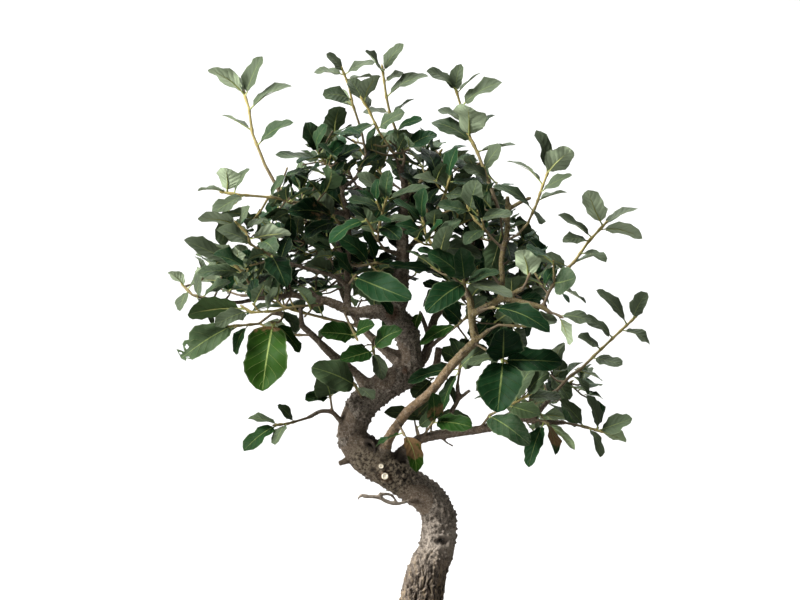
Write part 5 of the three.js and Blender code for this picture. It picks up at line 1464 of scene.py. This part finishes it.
# Leaves behind the front limb, which only the dressed tree has, in front view: the foot's across, depth
# and height, the tip's, the width, the turn in degrees, and the same marks
LOOSE_LEAVES: Wood = (
    (18, 8, 248, 50, -2, 243, 14, 22, 1.3, 0.5), (14, 12, 246, -21, 4, 252, 13, 30, 1.3, 0.45),
    (4, 10, 246, 20, 4, 263, 15, 20, 1.1, 0.4, 0.45, 1.1), (6, 2, 240, 20, -6, 252, 11, 25, 1.4, 0.5),
    (18, 14, 279, 2, 6, 264, 17, 20, 0.9, 0.5), (30, -8, 278, 36, -16, 259, 6, 30, 1.0, 0.2),
    (42, 10, 292, 24, 4, 302, 14, 24, 1.3, 0.6), (8, 4, 332, 4, -6, 318, 10, 24, 0.9, 1.0),
    (94, -10, 246, 97, -16, 261, 13, 20, 1.0, 1.3), (38, 12, 322, 26, 6, 333, 13, 26, 1.0, 0.5),
    (-66, 6, 320, -42, -4, 312, 14, 30, 1.0, 0.8), (-34, 8, 306, -50, 0, 298, 10, 40, 0.9, 0.5),
    (-22, 10, 316, -10, 2, 330, 13, 30, 0.6, 0.6),
    (108, -20, 272, 104, -34, 234, 9, 60, 1.1, 0.2, 0.5, 0.8),
    (120, -10, 262, 132, -24, 240, 12, 30, 0.6, 0.3), (112, -12, 282, 128, -24, 262, 15, 30, 0.9, 0.3),
    (150, -36, 240, 148, -44, 262, 13, 34, 0.5, 0.2),
)

# The crown's dense parts in front view, where added leaves may grow
HEART: Wood = (
    (-84, 466), (-58, 478), (-28, 474), (0, 484), (30, 474), (52, 456), (68, 434), (84, 414), (108, 392),
    (120, 368), (112, 340), (96, 322), (66, 318), (48, 332), (8, 338), (-56, 342), (-110, 344),
    (-162, 350), (-174, 372), (-168, 398), (-146, 414), (-116, 416), (-106, 426), (-96, 442),
)
SKIRT: Wood = (
    (30, 312), (70, 326), (112, 318), (150, 290), (158, 254), (140, 232), (104, 226), (66, 240), (44, 268),
)


def is_inside(corners: Wood, across: float, height: float) -> bool:
    """True where a point in front view lies inside a ring of corners."""
    inside = False
    for (x1, z1), (x2, z2) in zip(corners, (*corners[1:], corners[0])):
        if (z1 > height) != (z2 > height) and across < x1 + (x2 - x1) * (height - z1) / (z2 - z1):
            inside = not inside
    return inside


@dataclass(frozen=True)
class Outline:
    """The crown's dense parts as the front shows them, and the depth that leaves stay in."""

    depth: float = 102.0
    share: float = 0.72

    def holds(self, leaf: Leaf) -> bool:
        """True where most of a leaf lies in a dense part, and none of it too far forward or back."""
        points = leaf.samples()[::2]
        if np.abs(points[:, 1]).max() > self.depth:
            return False
        scale = -EYE.y / (points[:, 1] - EYE.y)
        across = (EYE.x + (points[:, 0] - EYE.x) * scale).tolist()
        height = (EYE.z + (points[:, 2] - EYE.z) * scale).tolist()
        kept = sum(is_inside(HEART, x, z) or is_inside(SKIRT, x, z) for x, z in zip(across, height))
        return kept >= self.share * len(across)


@dataclass
class Crown:
    """All the shoots, with their leaves kept apart."""

    inner_tries: int = 1100
    inner_pieces: int = 4
    skirt_gaps: float = 0.8
    middle_gaps: float = 0.72
    twig_lengths: tuple[float, float] = (9, 46)
    shoots: list[Shoot] = field(init=False)
    inner: list[SideTwig] = field(default_factory=list)

    def __post_init__(self) -> None:
        """Finds the given leaves, then adds the rest where there is room."""
        self.shoots = [Shoot(plan, i) for i, plan in enumerate(SHOOTS)]
        room, outline = Room(), Outline()
        wood: list[Vector] = []
        for shoot in self.shoots:
            for leaf in shoot.leaves:
                room.take(leaf.samples())
            wood += [shoot.line.at(run)[0] for run in np.arange(shoot.start, shoot.line.length, 2.0)]
        for limb in (TRUNK, *LIMBS):
            for point, radius in through(limb, 6):
                ball = [point + UP * radius * s for s in (-0.8, 0, 0.8)]
                ball += [point + Vector((radius * s, 0, 0)) for s in (-0.8, 0.8)]
                room.take(np.array(ball))
                if radius < 5:
                    wood.append(point)
        room.take(np.array(wood))
        given = sum(len(shoot.leaves) for shoot in self.shoots)
        for shoot in self.shoots:
            shoot.add_side_growth(room, outline)
        self.place_loose(wood, room)
        self.fill_heart(wood, room, outline)
        LOG.info("%d given leaves", given)
        LOG.info("%d on side twigs", sum(len(s.all_leaves) for s in self.shoots) - given)
        LOG.info("%d in the heart", sum(len(side.leaves) for side in self.inner))

    def place_loose(self, wood: Sequence[Vector], room: Room) -> None:
        """Sets the loose leaves, each on a twig from the nearest wood."""
        for i, row in enumerate(LOOSE_LEAVES):
            foot, tip = place(row[:3]), place(row[3:6])
            direction = (tip - foot).normalized()
            *tone, dry_to = full_marks(row[8:])
            leaf = Leaf(foot, tip, leaf_face(direction, row[7]), row[6], 500 + i, tuple(tone), dry_to)
            start = min(wood, key=lambda point: (point - foot).length)
            room.take(leaf.samples())
            self.inner.append(SideTwig(start.copy(), foot - direction * 0.5, [leaf]))

    def fill_heart(self, wood: Sequence[Vector], room: Room, outline: Outline) -> None:
        """Grows twigs from the wood into the empty parts of the crown's heart."""
        tree, draws = tree_of(wood), Draws(4242)
        for _ in range(self.inner_tries):
            across, height = draws.between(-160, 150), draws.between(235, 486)
            depth = draws.between(-20, 92)
            in_skirt = depth > 30 and is_inside(SKIRT, across, height)
            if not in_skirt and not is_inside(HEART, across, height):
                continue
            in_middle = -44 < across < 40 and height > 344
            if draws.next() < (self.skirt_gaps if in_skirt else self.middle_gaps if in_middle else 0.0):
                continue
            end = place((across, depth, height))
            start, _, distance = tree.find(end)
            if not self.twig_lengths[0] < distance < self.twig_lengths[1]:
                continue
            side = SideTwig(start.copy(), end)
            if side.leaf_out(draws, room, outline, 4):
                self.inner.append(side)

    def tone_of(self, leaf: Leaf) -> Colour:
        """A leaf's brightness, freshness and dryness, from its seed and its place, with painted light and
        shade.
        """
        draws = Draws(leaf.seed * 3 + 1)
        middle = leaf.foot.lerp(leaf.tip, 0.6)
        # Painted shade on leaves near the crown's heart and low in it, painted light further out, a little
        # brighter to the right, and a random tone
        across, depth, height = (middle.x + 8) / 150, middle.y / 90, (middle.z - 385) / 115
        outer = math.sqrt(across**2 + (0.4 * depth) ** 2 + height**2)
        painted_light_and_tone = clamp((outer - 0.5) * 1.15) + mix(-0.16, 0.5, draws.next() ** 1.6)
        painted_light_and_tone += 0.1 * clamp((middle.x + 45) / 60) + leaf.painted_front_light
        low = clamp((330 - middle.z) / 60)
        fresh = 0.06 + low * draws.between(0.05, 0.4)
        return (painted_light_and_tone * (1 - 0.35 * low), fresh, 0.28 if draws.next() > 0.92 else 0.0)

    def dressed(self, twigs: bpy.types.Object, leaves: Sequence[Leaf]) -> bpy.types.Object:
        """Joins twigs and copies of the leaf patterns into one piece.

        Args:
            twigs: The twigs' mesh.
            leaves: Their leaves.

        Returns:
            The piece.
        """
        parts = []
        for leaf in leaves:
            leaf.tone = leaf.tone or self.tone_of(leaf)
            parts.append(self.patterns[leaf.form].copy_for(leaf))
        piece = joined([*parts, twigs])
        smooth(piece, 70)
        return piece

    def inner_piece(self, number: int, sides: Sequence[SideTwig]) -> None:
        """Makes one piece of the heart's growth."""
        twigs = tube("inner_twigs", [side.knots() for side in sides], 6)
        colour_points(twigs, "tone", [(0.9, 0.0, 0.0, 1.0)] * len(twigs.data.vertices))
        twigs.data.materials.append(Finish.STEM.material)
        piece = self.dressed(twigs, [leaf for side in sides for leaf in side.leaves])
        add_to_part(piece, f"inner_growth_{number}")

    def build(self) -> None:
        """Models the leaf patterns once and makes every piece from copies of them."""
        self.patterns = {form: LeafPattern(form) for form in LeafForm}
        for shoot in self.shoots:
            piece = self.dressed(shoot.twig(), shoot.all_leaves)
            add_to_part(piece, "shoot_" + shoot.plan.name, [shoot.node])
        ordered = sorted(self.inner, key=lambda side: side.end.x)
        step = len(ordered) // self.inner_pieces + 1
        for number in range(self.inner_pieces):
            self.inner_piece(number, ordered[number * step : (number + 1) * step])


# Wood


def spots(*rows: Point) -> tuple[tuple[Vector, float], ...]:
    """Places with a size, from rows of (x, y, z, size)."""
    return tuple((Vector(row[:3]), row[3]) for row in rows)


KNOT_HOLLOW = Vector((25.6, -14.5, 150.8))
KNOT_SWELLING = Vector((13.6, -14.0, 201.0))
CUT_FACE = Vector((-20.0, -15.0, 201.0))
CRAGGY_SPOTS = spots((-14, -12, 203, 19), (-36, -9, 214, 13))
# Black dead stubs, and painted shade in crotches and on the dark side of a limb's foot
BLACK_AND_SHADE_MARKS = spots(
    (-28.5, -4, 230.5, 7.5), (-29, -17, 225, 5.5), (-9, -14, 206, 3.2), (-30, -14, 207, 2.6),
    (-35, 1, 222, 3), (2, -12, 300, 2.4), (-8, -6, 217, 6.5), (-31, -13, 229, 6.5),
)
BROWN_MARKS = spots((-38.5, -12, 249.5, 3.2), (-20, -15, 201, 5.5), (-4, -11, 286, 3), (-14, -9, 331, 6))

# Short twigs and stubs that only the dressed tree has
TWIGLETS: tuple[Wood, ...] = (
    ((24, -12, 234, 1.5), (28, -13, 229, 1), (32, -13, 226.5, 0.9), (34.5, -13, 225, 1.3)),
    ((-94, -12, 345, 1.6), (-96, -12, 352, 1), (-97, -13, 359, 0.8)),
    ((-72, -9, 342, 1.6), (-77, -8, 348, 1.1), (-84, -7, 352, 0.9), (-94, -6, 359, 0.8)),
    ((76, -22, 241, 1.5), (84, -22, 252, 1.1), (97, -24, 262, 0.9), (108, -26, 264, 0.8)),
    ((84, -23, 253, 1.3), (88, -26, 262, 1), (96, -30, 271, 0.8)),
    ((-28.4, -3, 218, 2.8), (-28, -4, 225, 2.1), (-29, -4, 230.5, 1.6), (-31, -4, 234.4, 1.0)),
    ((-27.5, -4, 223, 2.2), (-25.4, -4, 228.5, 1.5), (-23.8, -4, 231.4, 0.9)),
    ((-34, -24, 185, 1.4), (-38, -24, 186, 1.5), (-41, -24, 184, 1.1), (-42, -24, 181.5, 0.6)),
    ((-12, -18, 179, 1.0), (-20, -20, 182.5, 0.8), (-28, -22, 185, 0.8)),
)


@dataclass(frozen=True)
class WoodSpot:
    """A point of a centre line, with the wood's radius there and its kind."""

    point: Vector
    radius: float
    kind: float


@dataclass
class BarkedWood:
    """A skin of bark over a set of centre lines."""

    name: str
    voxel_mm: float
    relief_mm: float = 1.4
    old_relief_mm: float = 1.7
    old_under: float = 152.0
    old_fade: float = 34.0
    lines: list[tuple[list[tuple[Vector, float]], float]] = field(default_factory=list)

    def add(self, line: list[tuple[Vector, float]], kind: float = 0.0) -> None:
        """Adds a centre line of a kind: 0 for grey bark, 0.5 for warm brown and 1 for bleached wood."""
        self.lines.append((line, kind))

    def wood_spots(self) -> Iterator[WoodSpot]:
        """Points along every line, less than 2 mm apart."""
        for line, kind in self.lines:
            for (before, r1), (after, r2) in zip(line, line[1:]):
                steps = max(1, int((after - before).length / 2))
                for i in range(steps):
                    yield WoodSpot(before.lerp(after, i / steps), mix(r1, r2, i / steps), kind)

    @staticmethod
    def marked(point: Vector, marks: Sequence[tuple[Vector, float]]) -> float:
        """How much of the nearest mark there is at a point, from 0 outside its size to 1."""
        return max(mound((point - centre).length, size, 4) for centre, size in marks)

    def height_at(self, point: Vector, craggy: float, old: float) -> float:
        """The bark's height at a point, from 0 in a crack to 1 on a ridge.

        Args:
            point: The point.
            craggy: How scarred the bark is there.
            old: How old and fissured it is there.

        Returns:
            The height.
        """
        near = max(0.0, 1 - noise.voronoi(point * 0.32)[0][0] / 0.56)
        many = clamp(max(0.5, 0.75 + noise.noise(point * 0.07) * 1.8))
        wart = near * near * (3 - 2 * near) * many
        rough = 0.36 + noise.fractal(point * 0.4, 0.6, 2.2, 4) * 0.22 + wart * 1.15
        bent = Vector((point.x, point.y, point.z * 0.22)) + noise.noise_vector(point * 0.16) * 2.2
        ridge = 1 - abs(noise.noise(bent * 0.42)) * 2.3 - abs(noise.noise(bent * 0.9)) * 0.6
        creased = point + noise.noise_vector(point * 0.11) * 5
        crack = mound(noise.noise(creased * 0.27), 0.07)
        crag = 0.6 + noise.fractal(point * 0.42, 0.7, 2.1, 4) * 0.8 - 0.6 * crack
        rings = (point - CUT_FACE).length
        if rings < 9:
            crag += 0.35 * math.sin(rings * 2.2)
        return clamp(mix(mix(rough, 0.3 * rough + 0.7 * ridge, old), crag, craggy))

    def raise_bark(self, piece: bpy.types.Object) -> None:
        """Moves the skin in and out by its bark and keeps what the finish needs."""
        wood = list(self.wood_spots())
        tree = tree_of([spot.point for spot in wood])
        mesh = piece.data
        points = [vertex.co / MM for vertex in mesh.vertices]
        normals = [vertex.normal.copy() for vertex in mesh.vertices]
        places, bark, scars_and_shade = [], [], []
        for point, normal in zip(points, normals):
            spot = wood[tree.find(point)[1]]
            thick = clamp(max(0.06, (spot.radius - 1.5) / 8))
            craggy, old = self.marked(point, CRAGGY_SPOTS), clamp((self.old_under - point.z) / self.old_fade)
            height = self.height_at(point, craggy, old)
            depth = mix(self.relief_mm, self.old_relief_mm, max(craggy, old)) * thick
            aside = point - KNOT_HOLLOW + noise.noise_vector(point * 0.3) * 1.6
            away = Vector((aside.x * 0.72 + aside.z * 0.2, aside.y, aside.z * 1.25)).length
            knot, collar = mound(away, 3.6), mound(away - 6, 1.8)
            swelling = mound((point - KNOT_SWELLING).length, 3.2)
            move = (height - 0.45) * 2 * depth - 3.0 * knot + 0.9 * collar + 1.6 * swelling
            places.append((point + normal * move) * MM)
            # Black in the knot's hollow as painted shade, and at the marks
            black_and_shade = min(1.0, max(1.25 * knot, self.marked(point, BLACK_AND_SHADE_MARKS)))
            bark.append((min(1.0, spot.radius / 16), height, spot.kind, 1.0))
            scars_and_shade.append((black_and_shade, craggy, self.marked(point, BROWN_MARKS), 1.0))
        mesh.vertices.foreach_set("co", np.array(places).ravel())
        colour_points(piece, "bark", bark)
        colour_points(piece, "scars_and_shade", scars_and_shade)

    def build(self) -> None:
        """Makes the piece: tubes joined under one skin, then barked."""
        piece = tube(self.name, [line for line, _ in self.lines], 12)
        finish_modifier(piece, "REMESH", mode="VOXEL", voxel_size=self.voxel_mm * MM)
        finish_modifier(piece, "SMOOTH", factor=0.5, iterations=3)
        self.raise_bark(piece)
        piece.data.materials.append(Finish.BARK.material)
        smooth(piece)
        add_to_part(piece, self.name, ["trunk"])


@dataclass
class Tree:
    """The wood: the trunk with its roots and the feet of its limbs, and the limbs themselves."""

    shoots: Sequence[Shoot]
    flare_top: float = 105.0
    soil_edge: float = 56.0
    roots: int = 5
    root_reach: float = 46.0
    bleached_under: float = 195.0

    def trunk_line(self) -> list[tuple[Vector, float]]:
        """The trunk's centre line, spread at its foot."""
        line = []
        for point, radius in through(TRUNK, 6):
            flare = max(0.0, 1 - (point.z - self.soil_edge) / (self.flare_top - self.soil_edge))
            line.append((point, radius * (1 + 0.2 * flare**2)))
        return line

    def root_lines(self) -> Iterator[list[tuple[Vector, float]]]:
        """The surface roots, which dip into the soil."""
        for i in range(self.roots):
            angle = (i + 0.15 * math.sin(4 * i)) / self.roots * 2 * math.pi
            reach = self.root_reach * (1 + 0.2 * math.cos(3 * i + 1))
            steps = ((0.1, 80, 9), (0.45, 66, 6.5), (0.75, 59.5, 4.4), (1, 53, 2.4))
            x, y = reach * math.cos(angle), reach * math.sin(angle)
            yield through(tuple((3 + x * s, y * s, h, r) for s, h, r in steps), 4)

    def limb_feet(self, trunk: list[tuple[Vector, float]]) -> Iterator[list[tuple[Vector, float]]]:
        """The swollen feet of the limbs that leave the trunk, which end inside the limbs."""
        for limb in LIMBS:
            line = through(limb, 4)
            near, radius = min(trunk, key=lambda knot: (knot[0] - line[0][0]).length)
            foot = [(p, r) for p, r in line if (p - near).length < radius + 7]
            if (line[0][0] - near).length < radius and len(foot) > 1:
                last = len(foot) - 1
                yield [(p, r * mix(1.2, 0.86, i / last)) for i, (p, r) in enumerate(foot)]

    def kind_of(self, limb: Wood) -> float:
        """The kind of a limb's bark."""
        if limb[-1][2] < self.bleached_under:
            return 1.0
        return 0.5 if limb in LIMBS[:6] else 0.0

    def collars(self) -> Iterator[list[tuple[Vector, float]]]:
        """The short collars that the shoots grow from."""
        for shoot in self.shoots:
            end = shoot.start - SEAT_GAP
            runs = [0.0, *[r for r in shoot.line.runs if 0 < r < end], end]
            yield [(shoot.line.at(run)[0], shoot.thick * mix(COLLAR, 0.95, run / end)) for run in runs]

    def build(self) -> None:
        """Makes the trunk's piece and the limbs' piece."""
        trunk = BarkedWood("barked_trunk", 0.85)
        core = self.trunk_line()
        for line in (core, *self.root_lines(), *self.limb_feet(core)):
            trunk.add(line)
        trunk.build()
        limbs = BarkedWood("barked_limbs", 1.0)
        for limb in LIMBS:
            kind = self.kind_of(limb)
            line = through(limb, 5)
            ends = (0.7, 1.5) if kind == 1.0 else (0.92, 0.92)
            shares = [mix(*ends, i / len(line)) for i in range(len(line))]
            limbs.add([(point, radius * share) for (point, radius), share in zip(line, shares)], kind)
        for limb in TWIGLETS:
            limbs.add(through(limb, 3), self.kind_of(limb))
        for line in self.collars():
            limbs.add(line, 0.3)
        limbs.build()


@dataclass
class PruningCuts:
    """The cream faces of sawn stubs, each with a healed lip round a sunk heart."""

    places: tuple[tuple[Point, float], ...] = (((-20.0, -17.9, 201.0), 2.6), ((-23.0, -16.9, 209.0), 1.8))
    steps: Wood = ((0.06, 0.16), (0.14, 0.12), (0.16, -0.12), (0.12, -0.4), (0.3, 0.12))

    def cut(self, spot: Point, radius: float) -> bpy.types.Object:
        """Makes one cut face: a drum set in from its edge in steps, then pushed out of round.

        Args:
            spot: The middle of the face, in millimetres.
            radius: The stub's radius, in millimetres.

        Returns:
            The cut face.
        """
        deselect()
        bpy.ops.mesh.primitive_cylinder_add(
            vertices=20, radius=radius * MM, depth=1.4 * MM, location=place(spot) * MM,
            rotation=(math.radians(82), 0, math.radians(8)),
        )
        drum = bpy.context.object
        with editing(drum):
            choose(drum, lambda corner: corner.z > 0, "FACE")
            for inward, raised in self.steps:
                bpy.ops.mesh.inset(thickness=inward * radius * MM, depth=raised * MM)
            bpy.ops.mesh.select_mode(type="VERT")
            bpy.ops.mesh.select_all(action="SELECT")
            bpy.ops.transform.vertex_random(offset=0.13 * MM, uniform=0.6, seed=round(spot[2]))
        return settle(drum)

    def build(self) -> None:
        """Makes the cut faces as one piece."""
        piece = joined([self.cut(spot, radius) for spot, radius in self.places])
        piece.data.materials.append(Finish.CUT.material)
        smooth(piece, 40)
        add_to_part(piece, "pruning_cuts")


# Pot and soil


@dataclass
class Pot:
    """The clay pot: its solid's form with softened edges."""

    edge_mm: float = 1.6

    def build(self) -> None:
        """Makes the pot's piece."""
        piece = copy_of_solid("pot")
        finish_modifier(piece, "DECIMATE", decimate_type="DISSOLVE", angle_limit=math.radians(1.5))
        finish_modifier(
            piece, "BEVEL", width=self.edge_mm * MM, segments=3, limit_method="ANGLE",
            angle_limit=math.radians(32), harden_normals=False,
        )
        smooth(piece, 40)
        piece.data.materials.append(Finish.CLAY.material)
        add_to_part(piece, "clay_pot", ["pot"])


@dataclass
class Soil:
    """The soil: its solid with a rough top, loose grit on it, and moss round the trunk."""

    grains: int = 1500
    tufts: int = 850
    crown_top: float = 61.0
    edge_top: float = 56.0
    half_sides: tuple[float, float] = (138, 96)
    trunk_reach: float = 20.0
    roughness_mm: float = 1.2

    def ground(self) -> bpy.types.Object:
        """The soil's body with its top broken up."""
        piece = copy_of_solid("soil")
        with editing(piece):
            bpy.ops.mesh.select_mode(type="FACE")
            bpy.ops.mesh.select_all(action="DESELECT")
            work = bmesh.from_edit_mesh(piece.data)
            for face in work.faces:
                face.select = face.normal.z > 0.6 and face.calc_center_median().z > 0.05
            bmesh.update_edit_mesh(piece.data)
            for _ in range(3):
                bpy.ops.mesh.subdivide(number_cuts=1)
        for vertex in piece.data.vertices:
            if vertex.co.z > (self.edge_top + 0.3) * MM:
                vertex.co.z += noise.fractal(vertex.co * 90, 0.8, 2.0, 3) * self.roughness_mm * MM
        piece.data.materials.append(Finish.EARTH.material)
        return piece

    def top_at(self, x: float, y: float) -> float:
        """The soil's height at a place, in millimetres."""
        share = max(abs(x) / self.half_sides[0], abs(y) / self.half_sides[1])
        return mix(self.crown_top, self.edge_top, min(share, 1.0) ** 2)

    def stone(self) -> bpy.types.Object:
        """A grain of grit, modelled once."""
        deselect()
        bpy.ops.mesh.primitive_ico_sphere_add(subdivisions=1, radius=MM)
        piece = bpy.context.object
        with editing(piece):
            choose(piece, lambda co: co.z < -0.5 * MM)
            bpy.ops.transform.resize(value=(1.2, 1.0, 0.6), center_override=(0, 0, 0))
            choose(piece, lambda co: co.x > 0.5 * MM)
            bpy.ops.transform.translate(value=(0.25 * MM, 0.1 * MM, -0.1 * MM))
        return piece

    def tuft(self) -> bpy.types.Object:
        """A tuft of moss, modelled once: a small dome drawn out into points."""
        deselect()
        bpy.ops.mesh.primitive_ico_sphere_add(subdivisions=2, radius=MM)
        piece = bpy.context.object
        with editing(piece):
            choose(piece, lambda co: noise.noise(co * 2300) > 0.02 and co.z > -0.3 * MM)
            bpy.ops.transform.resize(value=(1.34, 1.34, 1.5), center_override=(0, 0, 0))
        return piece

    def scatter(
        self, pattern: bpy.types.Object, count: int, sizes: Point, reach: Point, power: float, flat: float
    ) -> bpy.types.Object:
        """Copies a pattern over the soil.

        Args:
            pattern: The grain or tuft, which is used up.
            count: How many copies there are.
            sizes: The least and greatest size, in millimetres.
            reach: How far out they lie, across and in depth.
            power: How square the patch is: 2 for an oval with a ragged edge, more for a full corner.
            flat: How flat they are.

        Returns:
            The joined copies.
        """
        draws, copies = Draws(count), []
        while len(copies) < count:
            x, y = draws.between(-1, 1) * reach[0], draws.between(-1, 1) * reach[1]
            edge = 1 + noise.noise(Vector((x, y, power)) * 0.06) * 2.4 / power**2
            out = (abs(x) / reach[0]) ** power + (abs(y) / reach[1]) ** power
            if math.hypot(x, y) < self.trunk_reach or out > edge:
                continue
            size = draws.between(*sizes)
            turn = Matrix.Rotation(draws.next() * 6.3, 4, "Z") @ Matrix.Rotation(draws.next() * 0.7, 4, "X")
            spot = Matrix.Translation(Vector((x, y, self.top_at(x, y) + size * flat * 0.2)) * MM)
            copy = show(own_copy(pattern))
            copy.data.transform(spot @ turn @ Matrix.Diagonal((size, size * 0.85, size * flat, 1)))
            copies.append(copy)
        bpy.data.objects.remove(pattern)
        return joined(copies)

    def build(self) -> None:
        """Makes the soil, the grit and the moss."""
        add_to_part(self.ground(), "soil_body", ["soil"])
        grit = self.scatter(self.stone(), self.grains, (1.0, 2.6), (136, 94), 8, 0.75)
        grit.data.materials.append(Finish.GRIT.material)
        moss = self.scatter(self.tuft(), self.tufts, (1.7, 4.2), (84, 60), 2, 0.5)
        moss.data.materials.append(Finish.MOSS.material)
        smooth(moss)
        add_to_part(grit, "soil_grit")
        add_to_part(moss, "moss_cushions")


def dress_screens() -> None:
    """Gives the drain screens their net finish."""
    for side in ("left", "right"):
        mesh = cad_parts["drain_screen_" + side].data
        mesh.materials.clear()
        mesh.materials.append(Finish.NET.material)


# Studio


@dataclass
class Studio:
    """A pale floor that sweeps up behind, soft lamps, and the camera where the photograph's stood."""

    lens: float = 84.375
    sensor: float = 36.0
    sky_strength: float = 0.08

    def floor(self) -> None:
        """Makes the floor with its sweep."""
        deselect()
        bpy.ops.mesh.primitive_plane_add(size=7)
        piece = bpy.context.object
        with editing(piece):
            choose(piece, lambda co: co.y > 3, "EDGE")
            bpy.ops.mesh.extrude_region_move(TRANSFORM_OT_translate={"value": (0, 0, 4)})
            choose(piece, lambda co: co.y > 3 and co.z < 1, "EDGE")
            bpy.ops.mesh.bevel(offset=1.2, segments=12)
        smooth(piece)
        piece.name = "floor"
        piece.data.materials.append(Finish.FLOOR.material)

    def lamp(self, name: str, at: Colour, size: float, watts: float, target: Colour = (0, 0, 0.33)) -> None:
        """Adds a soft lamp.

        Args:
            name: The lamp's name.
            at: Where it stands.
            size: Its width, in metres.
            watts: Its power.
            target: What it is aimed at.
        """
        data = bpy.data.lights.new(name, "AREA")
        data.size, data.energy = size, watts
        lamp = show(bpy.data.objects.new(name, data))
        lamp.location = at
        lamp.rotation_euler = (Vector(target) - Vector(at)).to_track_quat("-Z", "Y").to_euler()

    def camera(self) -> None:
        """Adds the camera."""
        data = bpy.data.cameras.new("camera")
        data.lens, data.sensor_width = self.lens, self.sensor
        camera = show(bpy.data.objects.new("camera", data))
        camera.location = EYE * MM
        camera.rotation_euler = (math.pi / 2, 0, 0)
        bpy.context.scene.camera = camera

    def build(self) -> None:
        """Sets up the floor, the light and the camera."""
        self.camera()
        self.floor()
        self.lamp("key", (-1.3, -0.85, 1.9), 0.6, 83)
        self.lamp("side", (-1.9, -0.5, 0.75), 0.5, 60)
        self.lamp("top", (0.15, 0.3, 1.9), 0.9, 29)
        self.lamp("backdrop", (0, 1.6, 2.2), 2.5, 165, (0, 2.9, 0.5))
        world = bpy.data.worlds.new("sky")
        world.use_nodes = True
        sky = world.node_tree.nodes["Background"].inputs
        sky["Color"].default_value = (1, 1, 1, 1)
        sky["Strength"].default_value = self.sky_strength
        bpy.context.scene.world = world
        bpy.context.scene.view_settings.view_transform = "Standard"


def main() -> None:
    """Builds the part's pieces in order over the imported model."""
    logging.basicConfig(level=logging.INFO, format="%(message)s")
    noise.seed_set(NOISE_SEED)
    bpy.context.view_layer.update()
    Studio().build()
    crown = Crown()
    Tree(crown.shoots).build()
    PruningCuts().build()
    Pot().build()
    Soil().build()
    dress_screens()
    crown.build()
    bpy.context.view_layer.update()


if __name__ == "__main__":
    main()
